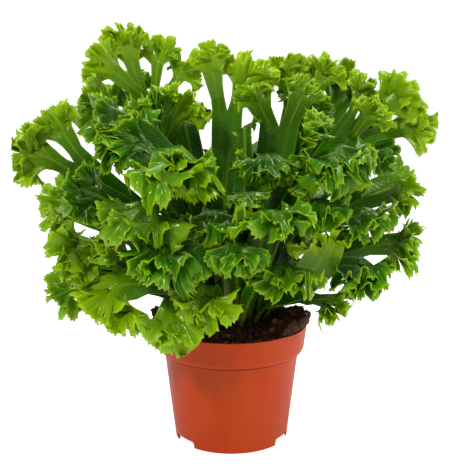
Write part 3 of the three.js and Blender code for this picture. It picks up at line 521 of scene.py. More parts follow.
class Ribbon:
    """A blade along a cubic curve, with u from -1 to 1 across it and v from 0 to 1 along it.

    Its normal travels along the curve without twist and then rolls smoothly, so that the far end
    faces the given way.
    """

    STEPS = 24
    RUFFLE_HEIGHT = 0.2
    RUFFLES = 34.0
    RUFFLE_SHIFT = 1.7
    BROADENING = (0.07, 0.5)
    TOWARD_FORK = (0.55, 1.0)
    FOLD_IN = (0.12, 0.4)
    FOLD_OUT = (0.7, 1.0)
    RUFFLE_IN = (0.3, 0.75)
    RUFFLE_OUT = (0.9, 1.0)

    def __init__(
        self,
        controls: list[Array],
        normal: Array,
        half_widths: Point,
        face: Array | None,
        fold: float = 0.0,
    ) -> None:
        """Carries the normal along the curve and rolls it toward the face.

        Args:
            controls: The four points of the cubic curve.
            normal: The normal at its start.
            half_widths: The half-width at its start, halfway and at its end.
            face: The way that its end faces, or None.
            fold: How far each half rises from the rib, as a share of its width.
        """
        self.controls = np.array(controls)
        self.half_widths = half_widths
        self.fold = fold
        self.places = np.linspace(0.0, 1.0, self.STEPS + 1)
        along = self.along(self.places)
        carried = []
        current = normal
        for tangent in along:
            current = unit(current - (current @ tangent) * tangent)
            carried.append(current)
        normals = np.array(carried)
        across = np.cross(along, normals)
        roll = 0.0
        if face is not None:
            roll = math.atan2(-(face @ across[-1]), face @ normals[-1])
        turn = (roll * smooth(0.0, 1.0, self.places))[:, None]
        self.normals = np.cos(turn) * normals - np.sin(turn) * across

    def point(self, v: Array) -> Array:
        """The point of the cubic curve at v."""
        return cubic(np.asarray(v, float)[..., None], *self.controls)

    def along(self, v: Array) -> Array:
        """The unit tangent of the curve, from the steps between its controls.

        Args:
            v: The places along.

        Returns:
            The direction at each place.
        """
        a, b, c, d = self.controls
        v = np.asarray(v, float)[..., None]
        w = 1.0 - v
        return unit(w * w * (b - a) + 2 * w * v * (c - b) + v * v * (d - c))

    def frame(self, v: Array) -> tuple[Array, Array, Array]:
        """The directions of the blade at some places along it.

        Args:
            v: The places.

        Returns:
            The tangent, the way across and the normal at each place.
        """
        v = np.asarray(v, float)
        along = self.along(v)
        normal = np.stack([np.interp(v, self.places, self.normals[:, k]) for k in range(3)], -1)
        normal = unit(normal - (normal * along).sum(-1, keepdims=True) * along)
        return along, np.cross(along, normal), normal

    def half_width(self, v: Array) -> Array:
        """From the stalk's to the middle's and on to the fork's half-width, each step smooth.

        Args:
            v: The places along.

        Returns:
            The half-width at each place.
        """
        stalk, middle, fork = self.half_widths
        broadened = stalk + (middle - stalk) * smooth(*self.BROADENING, v)
        return broadened + (fork - middle) * smooth(*self.TOWARD_FORK, v)

    def at(self, u: Array, v: Array) -> Array:
        """The surface: the fold lifts both halves, and a sine along the margins ruffles them.

        Args:
            u: The places across.
            v: The places along.

        Returns:
            The point at each pair of places.
        """
        _, across, normal = self.frame(v)
        width = self.half_width(v)
        folded = self.fold * np.abs(u) * smooth(*self.FOLD_IN, v)
        raised = folded * (1.0 - smooth(*self.FOLD_OUT, v))
        ruffle = np.sin(self.RUFFLES * v + np.sign(u) * self.RUFFLE_SHIFT) * np.abs(u) ** 3
        ruffled = self.RUFFLE_HEIGHT * ruffle * smooth(*self.RUFFLE_IN, v)
        ruffled = ruffled * (1.0 - smooth(*self.RUFFLE_OUT, v))
        shift = (width * (raised + ruffled))[..., None] * normal
        return self.point(v) + (width * u)[..., None] * across + shift


class Arm(Ribbon):
    """The short arm between a fork and its crest, narrowest halfway."""

    NARROWING = (0.0, 0.5)
    WIDENING = (0.4, 1.0)

    def half_width(self, v: Array) -> Array:
        """From the root's to the waist's and on to the end's half-width.

        Args:
            v: The places along.

        Returns:
            The half-width at each place.
        """
        root, waist, end = self.half_widths
        narrowed = root + (waist - root) * smooth(*self.NARROWING, v)
        return narrowed + (end - waist) * smooth(*self.WIDENING, v)


@dataclass(frozen=True)
class Attachment:
    """The edge that a crest or arm grows from: its centre, half-width and directions."""

    centre: Array
    half: float
    along: Array
    across: Array
    normal: Array
    face: Array


class Crest:
    """The fan at the end of a blade: pointed lobes, each cut again, on a surface that waves.

    Each line of constant u is a cubic curve from the blade's end to the rim, and the rim is a
    smooth curve through one spot for each lobe. The edge is that surface stopped short at the
    gaps between the lobes. Waves of three lengths lift it more toward the edge, and past the
    depth of its gaps each lobe twists and bends by itself, and so does each half of a lobe.
    Lengths along it are shares of the way from the blade's end to the rim.
    """

    TEETH = 5
    TOOTH_TOP = 0.7
    TOOTH_FALL = 0.3
    TOOTH = 0.055
    TOOTH_HEIGHTS = (0.4, 1.4)
    CURL = 0.32
    POINTED = 2.0
    FLARE = 0.22
    SPOT_REACH = (0.74, 1.08)
    SPOT_LIFT = (-0.1, 0.1)
    SIDE_FALL = 0.16
    SIDE_SHIFT = 0.45
    END_REACH = 0.66
    END_BACK = 1.2
    END_OVERHANG = 0.35
    WIDEST = math.radians(80)
    TIP_CUT = 0.06
    TIP_CUTS = (0.85, 1.15)
    GAP_CUT = 1.35
    GAP_CUTS = (0.7, 1.25)
    DEEPEST_GAP = 0.85
    SPLIT_CUT = 0.05
    END_GAP = 0.26
    TIP_LENGTH = 0.98
    TIP_LOSS = 0.1
    WAVE_SHARE = 0.3
    LONG_WAVE = (0.42, 0.6)
    SHORT_WAVE = (1.0, 1.4)
    FINE_WAVE = (2.3, 3.0)
    SHORT_HEIGHT = 0.6
    WAVE_RISE = 1.2
    CURL_RISE = 4
    LOBE_TURNS = (0.5, 0.3)
    HALF_TURNS = (0.35, 0.12)
    LEAVE = 0.22
    ARRIVE = 0.34
    DROOP = 0.12
    SPLAY = 0.5
    HOOK = 0.25
    FORWARD_BEND = 0.6
    CUT_IN = (0.2, 1.0)
    STEP = 1e-3
    NUDGE = 1e-9
    TOOTH_NUDGE = 1e-6

    def __init__(self, root: Attachment, plan: CrestPlan, draws: Draws, curls: Draws) -> None:
        """Places the rim's spots and draws the cuts, the waves and the turns of the lobes.

        Args:
            root: The edge that the crest grows from.
            plan: Its tip, lobes and spread.
            draws: The source of its larger differences.
            curls: The source of its finer differences.
        """
        tip = np.array(plan.tip, float)
        self.root = root
        self.lobes = lobes = plan.lobes
        self.left = root.centre - root.across * root.half
        self.right = root.centre + root.across * root.half
        self.reach = float(np.linalg.norm(tip - root.centre))
        self.middle = (tip - root.centre) / self.reach
        self.front = unit(root.face - (root.face @ self.middle) * self.middle)
        self.side = np.cross(self.middle, self.front)
        turn = math.radians(plan.spread)
        self.rim = self.spots(plan.back, turn, draws)
        self.rim_places = np.array([-1.0, *[(2 * i + 1) / lobes - 1 for i in range(lobes)], 1.0])
        self.tip_cuts = np.array([self.TIP_CUT * draws.draw(*self.TIP_CUTS) for _ in range(lobes)])
        gap = self.GAP_CUT * plan.depth
        gaps = [min(self.DEEPEST_GAP, gap * draws.draw(*self.GAP_CUTS)) for _ in range(lobes - 1)]
        self.gap_cuts = np.array([self.END_GAP, *gaps, self.END_GAP])
        self.tip_lengths = np.array([
            [self.TIP_LENGTH - draws.draw(0, self.TIP_LOSS) for _ in range(2)] for _ in range(lobes)
        ])
        self.lobe_width = self.reach * turn / lobes
        self.wave_height = self.lobe_width * self.WAVE_SHARE * plan.wave
        self.waves = [self.sine(draws, *self.LONG_WAVE), self.sine(draws, *self.SHORT_WAVE)]
        self.fine_wave = self.sine(curls, *self.FINE_WAVE)
        self.turns = [
            self.leaflets(curls, lobes, *self.LOBE_TURNS),
            self.leaflets(curls, 2 * lobes, *self.HALF_TURNS),
        ]
        teeth = range(2 * lobes * self.TEETH)
        self.teeth = np.array([curls.draw(*self.TOOTH_HEIGHTS) for _ in teeth])

    def spots(self, back: float, turn: float, draws: Draws) -> Array:
        """Strews the rim's spots over the fan, nearer and further back toward its sides.

        Args:
            back: How far the sides lean behind the middle, as a share of the reach.
            turn: How wide the crest fans, in radians.
            draws: The source of small differences.

        Returns:
            The first end of the rim, a spot for each lobe and the other end, one a row.
        """
        spots = []
        for i in range(self.lobes):
            offset = abs(2 * (i + 0.5) / self.lobes - 1)
            radius = (1 - self.SIDE_FALL * offset * offset) * draws.draw(*self.SPOT_REACH)
            lift = draws.draw(*self.SPOT_LIFT) - back * offset
            spots.append(self.spot(((i + 0.5) / self.lobes - 0.5) * turn, radius, lift))
        last = min(turn * 0.5 * (1 + self.END_OVERHANG / self.lobes), self.WIDEST)
        ends = [self.spot(angle, self.END_REACH, -back * self.END_BACK) for angle in (-last, last)]
        return np.array([ends[0], *spots, ends[1]])

    def spot(self, angle: float, radius: float, lift: float) -> Array:
        """Places one point of the rim.

        Args:
            angle: The angle from the crest's middle line, in radians.
            radius: How far out it is, as a share of the reach.
            lift: How far forward it is, as a share of the reach.

        Returns:
            The point.
        """
        outward = math.cos(angle) * self.middle + math.sin(angle) * self.side
        shift = self.root.half * self.SIDE_SHIFT * math.sin(angle) * self.side
        forward = self.front * self.reach * lift
        return self.root.centre + self.reach * radius * outward + shift + forward

    def sine(self, draws: Draws, low: float, high: float) -> Pair:
        """Draws a sine: how often it rises across the crest, low to high a lobe, and its phase."""
        return self.lobes * draws.draw(low, high), draws.draw(0, 2 * math.pi)

    def leaflets(self, curls: Draws, count: int, twist: float, bend: float) -> Array:
        """Draws a twist in radians and a bend as a share of the reach for each lobe."""
        return np.array([
            [curls.draw(-twist, twist), curls.draw(-bend, self.FORWARD_BEND * bend)]
            for _ in range(count)
        ])

    def columns(self) -> Array:
        """The columns of the crest's grid, with one in each notch and on each tooth of its edge.

        Returns:
            The places across.
        """
        starts = np.arange(2 * self.lobes * self.TEETH) / self.TEETH
        steps = starts[:, None] + np.array((0.0, self.TOOTH_TOP)) / self.TEETH
        return np.append(steps.ravel(), 2.0 * self.lobes) / self.lobes - 1.0

    def rim_point(self, u: Array) -> Array:
        """The smooth curve through the rim's spots, a cubic between each two.

        Args:
            u: The places across.

        Returns:
            The point of the rim at each place.
        """
        i = np.clip(np.searchsorted(self.rim_places, u, side="right") - 1, 0, self.lobes)
        start, stop = self.rim_places[i], self.rim_places[i + 1]
        t = ((u - start) / (stop - start))[..., None]
        a, b = self.rim[np.maximum(i - 1, 0)], self.rim[i]
        c, d = self.rim[i + 1], self.rim[np.minimum(i + 2, self.lobes + 1)]
        bend = (2 * a - 5 * b + 4 * c - d) + t * (3 * (b - c) + d - a)
        return b + 0.5 * t * ((c - a) + t * bend)

    def divided(self, u: Array) -> tuple[Array, Array, Array]:
        """Finds the lobe and the half of it that each place is in.

        Args:
            u: The places across.

        Returns:
            The number of the lobe, the number of its half, and how far across that half u is.
        """
        place = (u + 1) / 2 * self.lobes
        lobe = np.clip(np.floor(place - self.NUDGE).astype(int), 0, self.lobes - 1)
        half = np.clip(np.floor((place - lobe) * 2 - self.NUDGE).astype(int), 0, 1)
        return lobe, half, (place - lobe) * 2 - half

    def reach_at(self, u: Array) -> Array:
        """How far out the toothed edge is: each half of a lobe is round, with saw teeth on it.

        Args:
            u: The places across.

        Returns:
            The share of the way to the rim at each place.
        """
        lobe, half, within = self.divided(u)
        top = self.tip_lengths[lobe, half]
        low_side = within < 0.5
        gap = 1 - self.gap_cuts[np.where(low_side, lobe, lobe + 1)]
        edge = np.where(low_side == (half == 0), gap, 1 - self.SPLIT_CUT - self.tip_cuts[lobe])
        rounded = top + (edge - top) * np.abs(2 * within - 1) ** self.POINTED
        place = np.clip(within * self.TEETH, 0, self.TEETH - self.TOOTH_NUDGE)
        tooth = place % 1.0
        falling = (1 - tooth) / self.TOOTH_FALL
        saw = np.where(tooth < self.TOOTH_TOP, tooth / self.TOOTH_TOP, falling)
        height = self.teeth[(2 * lobe + half) * self.TEETH + place.astype(int)]
        return rounded + self.TOOTH * height * (saw - 0.5)

    def flat(self, u: Array, v: Array) -> Array:
        """The surface without its waves: a cubic curve from the blade's end out to the rim.

        Args:
            u: The places across.
            v: The places along.

        Returns:
            The point at each pair of places.
        """
        t = ((u + 1) / 2)[..., None]
        root = self.left + (self.right - self.left) * t
        tip = self.rim_point(u)
        chord = tip - root
        length = np.linalg.norm(chord, axis=-1, keepdims=True)
        chord = chord / length
        splay = self.SPLAY * np.abs(2 * t - 1)
        leave = unit(self.root.along * (1 - splay) + chord * splay)
        mirrored = 2 * (chord @ self.root.along)[..., None]
        arrive = chord * (self.HOOK * mirrored + (1 - self.HOOK)) - self.HOOK * self.root.along
        arrive = arrive - self.DROOP * UP
        near = root + leave * length * self.LEAVE
        far = tip - unit(arrive) * length * self.ARRIVE
        return cubic(v[..., None], root, near, far, tip)

    def frame(self, u: Array, v: Array) -> tuple[Array, Array]:
        """The directions of the flat surface, from small differences.

        Args:
            u: The places across.
            v: The places along.

        Returns:
            The outward direction and the normal at each pair of places.
        """
        step = self.STEP
        wide = self.flat(np.minimum(u + step, 1), v) - self.flat(np.maximum(u - step, -1), v)
        long = self.flat(u, np.minimum(v + step, 1)) - self.flat(u, np.maximum(v - step, 0))
        return unit(long), unit(np.cross(wide, long))

    def waved(self, u: Array, v: Array) -> Array:
        """The flat surface moved along its normal by three sines of u, more toward the edge.

        Args:
            u: The places across.
            v: The places along.

        Returns:
            The point at each pair of places.
        """
        _, normal = self.frame(u, v)
        y = math.pi * (u + 1)
        (count, phase), (short_count, short_phase) = self.waves
        short = self.SHORT_HEIGHT * np.sin(short_count * y + short_phase) * v
        sines = np.sin(count * y + phase) + short
        fine_count, fine_phase = self.fine_wave
        curl_height = self.CURL * self.lobe_width / 2 * v**self.CURL_RISE
        curl = curl_height * np.sin(fine_count * y + fine_phase)
        height = self.wave_height * v**self.WAVE_RISE * sines + curl
        return self.flat(u, v) + normal * height[..., None]

    def turned(self, points: Array, middles: Array, v: Array, free: Array, turns: Array) -> Array:
        """Flares points from their lobe's middle line, twists them about it and bends them off.

        Args:
            points: The points to move.
            middles: The place across of each point's middle line.
            v: How far out each point is.
            free: From 0 at the depth of the gap to 1 at the tip.
            turns: The full twist and bend of each point's lobe.

        Returns:
            The moved points: each is spread from the middle line and turned about it, then shifted
            along the normal by the square of free.
        """
        out, normal = self.frame(middles, v)
        pivot = self.waved(middles, v)
        angle = (turns[..., 0] * free)[..., None]
        arm = points - pivot
        lengthwise = (arm * out).sum(-1, keepdims=True) * out
        spread = (arm - lengthwise) * (1.0 + self.FLARE * free)[..., None]
        arm = lengthwise + spread * np.cos(angle) + np.cross(out, spread) * np.sin(angle)
        return pivot + arm + normal * (turns[..., 1] * self.reach * free**2)[..., None]

    def at(self, u: Array, share: Array) -> Array:
        """The waved surface cut to its toothed edge, with its lobes and their halves turned.

        Args:
            u: The places across.
            share: The places from the blade's end, at 0, to the toothed edge, at 1.

        Returns:
            The point at each pair of places.
        """
        v = share * (1 - (1 - self.reach_at(u)) * smooth(*self.CUT_IN, share))
        lobe, half, within = self.divided(u)
        across = (within + half) / 2
        gap = self.gap_cuts[lobe] * (1 - across) + self.gap_cuts[lobe + 1] * across
        free = smooth(0.0, 1.0, (v - (1 - gap)) / gap)
        points = self.waved(u, v)
        cut = self.SPLIT_CUT + self.tip_cuts[lobe]
        outer = self.gap_cuts[lobe + half]
        inner_side = np.where(half == 0, within, 1 - within)
        start = outer * (1 - inner_side) + cut * inner_side
        half_free = smooth(0.0, 1.0, (v - (1 - start)) / start)
        half_middle = (2 * lobe + half + 0.5) / self.lobes - 1
        points = self.turned(points, half_middle, v, half_free, self.turns[1][2 * lobe + half])
        lobe_middle = (2 * lobe + 1) / self.lobes - 1
        return self.turned(points, lobe_middle, v, free, self.turns[0][lobe])


def grid_quads(numbers: Array) -> Array:
    """The quads between the neighbours of a grid of numbered points, four corners a row."""
    corners = (numbers[:-1, :-1], numbers[:-1, 1:], numbers[1:, 1:], numbers[1:, :-1])
    return np.stack([c.ravel() for c in corners], axis=-1)


@dataclass
class Sheet:
    """A surface of quads without thickness, put together from grids that share their edge rows."""

    points: list[Array] = field(default_factory=list)
    marks: list[Array] = field(default_factory=list)
    quads: list[Array] = field(default_factory=list)
    count: int = 0

    def grid(self, points: Array, marks: Array, first: Array | None) -> Array:
        """Adds the rows of a grid and the quads between them.

        Args:
            points: The new points, as rows by columns by 3.
            marks: The values that the material reads, as rows by columns by names.
            first: The numbers of an earlier row that the grid starts from, or None.

        Returns:
            The numbers of the grid's last row.
        """
        rows, columns = points.shape[:2]
        numbers = self.count + np.arange(rows * columns).reshape(rows, columns)
        self.count += rows * columns
        self.points.append(points.reshape(-1, 3))
        self.marks.append(marks.reshape(rows * columns, -1))
        if first is not None:
            numbers = np.vstack([first[None], numbers])
        self.quads.append(grid_quads(numbers))
        return numbers[-1]


def border(quads: Array) -> Array:
    """Finds the open edges, which only one quad has.

    Args:
        quads: The numbers of the corners, four a row.

    Returns:
        Pairs of numbers, each in its quad's order.
    """
    edges = np.concatenate([quads[:, [k, (k + 1) % 4]] for k in range(4)])
    size = int(quads.max()) + 1
    codes = edges[:, 0] * size + edges[:, 1]
    reverse = edges[:, 1] * size + edges[:, 0]
    return edges[~np.isin(codes, reverse)]


def vertex_normals(points: Array, quads: Array) -> Array:
    """The mean direction of the quads round each point, from the cross of their diagonals.

    Args:
        points: The places of the points.
        quads: The numbers of the corners, four a row.

    Returns:
        A direction of length one for each point.
    """
    a, b, c, d = (points[quads[:, k]] for k in range(4))
    area = np.cross(c - a, d - b)
    corners = quads.ravel()
    sums = [np.bincount(corners, np.repeat(area[:, k], 4), len(points)) for k in range(3)]
    return unit(np.stack(sums, axis=-1))


@dataclass
class Surface:
    """A mesh in millimetres with the values that its material reads.

    Its faces come as arrays with one face a row, of three or four corners.
    """

    points: Array
    faces: tuple[Array, ...]
    marks: dict[str, Array] = field(default_factory=dict)
    sharp: tuple[bool, ...] = ()

    def make(self, name: str, material: Material) -> Piece:
        """Makes the Blender object at the origin, in metres, smooth but for its sharp faces.

        Args:
            name: The object's name.
            material: What all its faces are made of.

        Returns:
            The object, linked to the scene.
        """
        mesh = bpy.data.meshes.new(name)
        corners = np.concatenate([f.ravel() for f in self.faces]).astype(np.int32)
        sizes = np.concatenate([np.full(len(f), f.shape[1]) for f in self.faces])
        mesh.vertices.add(len(self.points))
        mesh.vertices.foreach_set("co", (self.points * MM).astype(np.float32).ravel())
        mesh.loops.add(len(corners))
        mesh.loops.foreach_set("vertex_index", corners)
        mesh.polygons.add(len(sizes))
        mesh.polygons.foreach_set("loop_start", (np.cumsum(sizes) - sizes).astype(np.int32))
        sharp = self.sharp or (False,) * len(self.faces)
        smooth_faces = np.concatenate([np.full(len(f), not s) for f, s in zip(self.faces, sharp)])
        mesh.polygons.foreach_set("use_smooth", smooth_faces)
        for mark, values in self.marks.items():
            layer = mesh.attributes.new(mark, "FLOAT", "POINT")
            layer.data.foreach_set("value", values.astype(np.float32))
        mesh.update(calc_edges=True)
        mesh.validate()
        mesh.materials.append(material)
        piece = bpy.data.objects.new(name, mesh)
        bpy.context.scene.collection.objects.link(piece)
        return piece


def shell(sheet: Sheet, thickness: Array, names: tuple[str, ...]) -> Surface:
    """The closed solid about a sheet: it moves half the thickness each way along the normals.

    Args:
        sheet: The surface to thicken.
        thickness: The full thickness at each point.
        names: The names of the sheet's marks, column by column.

    Returns:
        The front, the back and the wall between them along every open edge.
    """
    points, quads = np.concatenate(sheet.points), np.concatenate(sheet.quads)
    marks = np.concatenate(sheet.marks)
    shift = vertex_normals(points, quads) * thickness[:, None] / 2
    count = len(points)
    rim = border(quads)
    walls = np.stack([rim[:, 1], rim[:, 0], rim[:, 0] + count, rim[:, 1] + count], axis=-1)
    faces = (quads, quads[:, ::-1] + count, walls)
    doubled = {name: np.tile(marks[:, k], 2) for k, name in enumerate(names)}
    both = np.concatenate([points + shift, points - shift])
    return Surface(both, faces, doubled, (False, False, True))


def joined(surfaces: list[Surface]) -> Surface:
    """Puts surfaces of the same marks and kinds of face into one, each with its own points.

    Args:
        surfaces: The surfaces, one or more.

    Returns:
        One surface with all their points and faces.
    """
    starts = np.cumsum([0] + [len(s.points) for s in surfaces])
    faces = tuple(
        np.concatenate([s.faces[k] + start for s, start in zip(surfaces, starts)])
        for k in range(len(surfaces[0].faces))
    )
    marks = {name: np.concatenate([s.marks[name] for s in surfaces]) for name in surfaces[0].marks}
    points = np.concatenate([s.points for s in surfaces])
    return Surface(points, faces, marks, surfaces[0].sharp)


@dataclass(frozen=True)
class Box:
    """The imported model's box, which no leaf may leave, with a soft layer inside its sides."""

    low: Array
    high: Array
    soft: float = 5.0

    def held(self, points: Array) -> Array:
        """Presses points back in: near a side, x becomes side - soft * e^(-past / soft).

        Args:
            points: The points to hold, where past is how far each is into the soft layer.

        Returns:
            The points, all inside the box.
        """
        past_high = np.maximum(points - (self.high - self.soft), 0.0)
        past_low = np.maximum((self.low + self.soft) - points, 0.0)
        pressed_high = self.soft * (1.0 - np.exp(-past_high / self.soft))
        pressed_low = self.soft * (1.0 - np.exp(-past_low / self.soft))
        return points - past_high + pressed_high + past_low - pressed_low


class Bow(Enum):
    """How a strap reaches its fork: the pull of its crests, and the handle's share of the way."""

    HANGING = (1.7, 0.26)
    RISING = (0.9, 0.36)


class FrillDraws(Enum):
    """Where a frill sprouts, as a share of the way out, and how far it leans off, in degrees."""

    UPRIGHT = ((0.34, 0.5), (-16, 26))
    OTHER = ((0.26, 0.44), (-8, 34))


@dataclass(frozen=True)
class Head:
    """A crest of a fork: its plan, its share of the width, that share's middle and its arm."""

    plan: CrestPlan
    share: float
    centre: float
    arm: Arm | None
    crest: Crest


@dataclass
class Frond:
    """A living frond: a stalk that broadens into a strap and ends in one or more crests.

    A crest of a fork stands on an arm of its own. Frills are smaller fans that sprout from a crest.
    Angles are in degrees, and a pair of places along the frond says where an effect rises from
    none to full.
    """

    plan: FrondPlan
    box: Box
    crown_height: float = 96.0
    stalk_depth: float = 9.0
    stalk_half_width: float = 2.3
    stalk_thickness: float = 2.6
    stalk_end: Pair = (0.07, 0.24)
    blade: float = 0.5
    strap_rows: int = 10
    arm_rows: int = 3
    crest_rows: int = 8
    frill_rows: int = 6
    crowding: float = 1.25
    frill_places: tuple[float, ...] = (-0.62, 0.0, 0.62)
    frill_reach: float = 0.58
    frill_spread: float = 150.0
    frill_lobes: int = 3
    frill_root: float = 0.4
    frill_shift: float = 0.12
    frill_swing: float = 16.0
    frill_sizes: Pair = (0.8, 1.12)
    fork_drop: float = 9.0
    steeper: float = 0.55
    leave: float = 0.33
    arm_stem: float = 0.42
    arm_rise: float = 0.05
    arm_leave: float = 0.3
    arm_arrive: float = 0.36
    arm_turns: tuple[Pair, Pair] = ((0.55, 0.6), (0.4, 0.8))
    arm_waist: float = 0.85
    arm_end_width: float = 1.3
    shoot_lean: float = 0.35
    rib_width: float = 1.8
    rib_split: Pair = (0.55, 1.0)
    rib_fade: float = 0.7
    rib_fading: Pair = (0.5, 0.8)
    arm_rib_width: float = 1.3
    margin_width: float = 1.1
    margin_start: Pair = (0.2, 0.5)
    vein_spacing: float = 3.2
    vein_slant: float = 0.8
    strap_margin: float = 0.4
    arm_margin: float = 0.6
    crest_spacing: float = 1.5
    crest_rib: float = 0.4
    crest_margin_width: float = 1.2
    crest_fading: Pair = (0.35, 0.85)
    edge_nearness: float = 0.8
    lobe_veins: int = 6

    MARKS = ("margin", "rib", "vein", "along", "tone")
    ARM_START = 0.6
    ARM_SHARE = 0.1
    CREST_START = 0.7
    CREST_SHARE = 0.3
    CURLS = 1000

    @property
    def face(self) -> Array | None:
        """The way that the blade's upper side faces at the fork, or None."""
        return None if self.plan.facing is None else direction(*self.plan.facing)

    def surface(self) -> Surface:
        """Builds the strap with its crests as one closed shell, and the frills and shoots on it.

        Returns:
            All of them as one surface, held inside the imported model's box.
        """
        curls = Draws(self.plan.seed + self.CURLS)
        strap, length = self.strap()
        heads = self.heads(strap, curls)
        sheet = Sheet()
        columns = [head.crest.columns() for head in heads]
        edges = [head.centre + head.share * places for head, places in zip(heads, columns)]
        wide = np.concatenate([edges[0], *[edge[1:] for edge in edges[1:]]])
        centres = np.array([head.centre for head in heads])
        end = self.ARM_START if heads[0].arm else self.CREST_START
        row = self.add_strap(sheet, strap, wide, centres, length, end)
        start = 0
        for head, places in zip(heads, columns):
            first = row[start : start + len(places)]
            start += len(places) - 1
            if head.arm:
                first = self.add_arm(sheet, head.arm, places, first)
            self.add_crest(sheet, head.crest, places, first, self.crest_rows)
        frills = [
            self.frill(head.crest, head.plan, curls, place)
            for head in heads
            for place in self.frill_places
        ]
        shoots = [part for shoot in self.plan.shoots for part in self.shoot(strap, shoot, curls)]
        whole = joined([self.solid(sheet), *frills, *shoots])
        whole.points = self.box.held(whole.points)
        return whole

    def strap(self) -> tuple[Ribbon, float]:
        """Bends the stalk and blade from the soil to the fork, which leans toward its crests.

        Returns:
            The ribbon, and the straight distance from the soil's top to the fork.
        """
        plan = self.plan
        ring, place = plan.foot
        foot = ring.foot(place) + UP * (self.crown_height - self.stalk_depth)
        top = foot + UP * self.stalk_depth
        fork = np.array(plan.fork, float)
        chord = fork - top
        if len(plan.crests) > 1:
            fork = fork - unit(chord) * self.fork_drop
            chord = fork - top
        length = float(np.linalg.norm(chord))
        azimuth = math.degrees(math.atan2(chord[1], chord[0]))
        slope = math.degrees(math.atan2(chord[2], math.hypot(chord[0], chord[1])))
        rise = slope + (90 - slope) * self.steeper if plan.rise is None else plan.rise
        tips = np.array([crest.tip for crest in plan.crests], float)
        spread = unit(unit(tips - fork).sum(axis=0))
        bow, handle = Bow.HANGING.value if plan.facing == Facing.FORWARD.value else Bow.RISING.value
        arrive = unit(chord / length + bow * spread)
        risen = top + direction(azimuth, rise) * length * self.leave
        controls = [foot, risen, fork - arrive * length * handle, fork]
        widths = (self.stalk_half_width, *plan.half_widths)
        return Ribbon(controls, -direction(azimuth, 0.0), widths, self.face, plan.fold), length

    def heads(self, strap: Ribbon, curls: Draws) -> list[Head]:
        """Shares the fork's width between its crests, in their order across it.

        Args:
            strap: The ribbon that ends at the fork.
            curls: The source of the crests' finer differences.

        Returns:
            The crests with their arms.
        """
        along, across, normal = (part[0] for part in strap.frame(np.array([1.0])))
        fork, fork_half = strap.controls[3], self.plan.half_widths[1]
        plans = list(self.plan.crests)
        run = np.array(plans[-1].tip, float) - np.array(plans[0].tip, float)
        if len(plans) > 1 and run @ across < 0:
            plans.reverse()
        shares = np.array([plan.share for plan in plans])
        shares = shares / shares.sum()
        centres = 2 * (np.cumsum(shares) - shares / 2) - 1
        face = normal if self.face is None else self.face
        usual = self.arm_stem if len(plans) > 1 else 0.0
        draws = Draws(self.plan.seed)
        heads = []
        for plan, share, centre in zip(plans, shares, centres):
            middle = fork + across * fork_half * centre
            root = Attachment(middle, fork_half * float(share), along, across, normal, face)
            stem = usual if plan.stem is None else plan.stem
            arm = self.arm(root, plan, stem) if stem else None
            crest = Crest(self.arm_end(arm, root) if arm else root, plan, draws, curls)
            heads.append(Head(plan, share, centre, arm, crest))
        return heads

    def solid(self, sheet: Sheet) -> Surface:
        """Thickens a sheet: thick in the stalk, thin in the blade and thinner at its margin.

        Args:
            sheet: The sheet, which has the frond's marks.

        Returns:
            The closed surface.
        """
        marks = np.concatenate(sheet.marks)
        stalk = 1 - smooth(*self.stalk_end, marks[:, self.MARKS.index("along")])
        thin = self.blade * (1 - 0.5 * marks[:, 0])
        return shell(sheet, thin + (self.stalk_thickness - self.blade) * stalk, self.MARKS)

    def shoot(self, strap: Ribbon, plan: ShootPlan, curls: Draws) -> list[Surface]:
        """A side crest on an arm of its own, which leaves the strap's upper side.

        Args:
            strap: The strap that it grows from.
            plan: Where it leaves the strap, and its crest.
            curls: The source of small differences.

        Returns:
            The arm with its crest, and the frills on the crest.
        """
        place = np.array([plan.place])
        start = strap.at(np.zeros(1), place)[0]
        along, across, normal = (part[0] for part in strap.frame(place))
        reach = unit(np.array(plan.crest.tip, float) - start)
        leave = unit(self.shoot_lean * along + reach)
        outward = unit(np.cross(across, leave))
        root = Attachment(start, plan.half_width, leave, across, outward, normal)
        arm = self.arm(root, plan.crest, plan.stem)
        crest = Crest(self.arm_end(arm, root), plan.crest, curls, curls)
        grown = replace(self, plan=replace(self.plan, age=plan.age))
        sheet = Sheet()
        row = grown.add_arm(sheet, arm, crest.columns(), None)
        grown.add_crest(sheet, crest, crest.columns(), row, self.crest_rows)
        frills = [grown.frill(crest, plan.crest, curls, spot) for spot in self.frill_places]
        return [self.solid(sheet), *frills]

    def frill(self, crest: Crest, plan: CrestPlan, curls: Draws, place: float) -> Surface:
        """A smaller fan that sprouts from a crest's surface and leans forward from it.

        Args:
            crest: The crest that it grows on.
            plan: The crest's plan, whose spread and wave the smaller fan takes.
            curls: The source of small differences.
            place: Where across the crest it sprouts, from -1 to 1.

        Returns:
            The frill as a closed surface of its own.
        """
        upright = self.plan.facing == Facing.UPRIGHT.value
        shares, tilts = (FrillDraws.UPRIGHT if upright else FrillDraws.OTHER).value
        across = np.array([place + curls.draw(-self.frill_shift, self.frill_shift)])
        out_share = np.array([curls.draw(*shares)])
        start = crest.at(across, out_share)[0]
        out, normal = (part[0] for part in crest.frame(across, out_share))
        side = np.cross(out, normal)
        tilt = math.radians(curls.draw(*tilts))
        swing = math.radians(curls.draw(-self.frill_swing, self.frill_swing))
        level = math.cos(swing) * out + math.sin(swing) * side
        aim = math.cos(tilt) * level + math.sin(tilt) * normal
        reach = crest.reach * self.frill_reach * curls.draw(*self.frill_sizes)
        tip = tuple(start + aim * reach)
        small = replace(plan, tip=tip, lobes=self.frill_lobes, spread=self.frill_spread, share=1.0)
        edge = Attachment(start, crest.root.half * self.frill_root, aim, side, normal, normal)
        fan = Crest(edge, small, curls, curls)
        sheet = Sheet()
        self.add_crest(sheet, fan, fan.columns(), None, self.frill_rows)
        return self.solid(sheet)

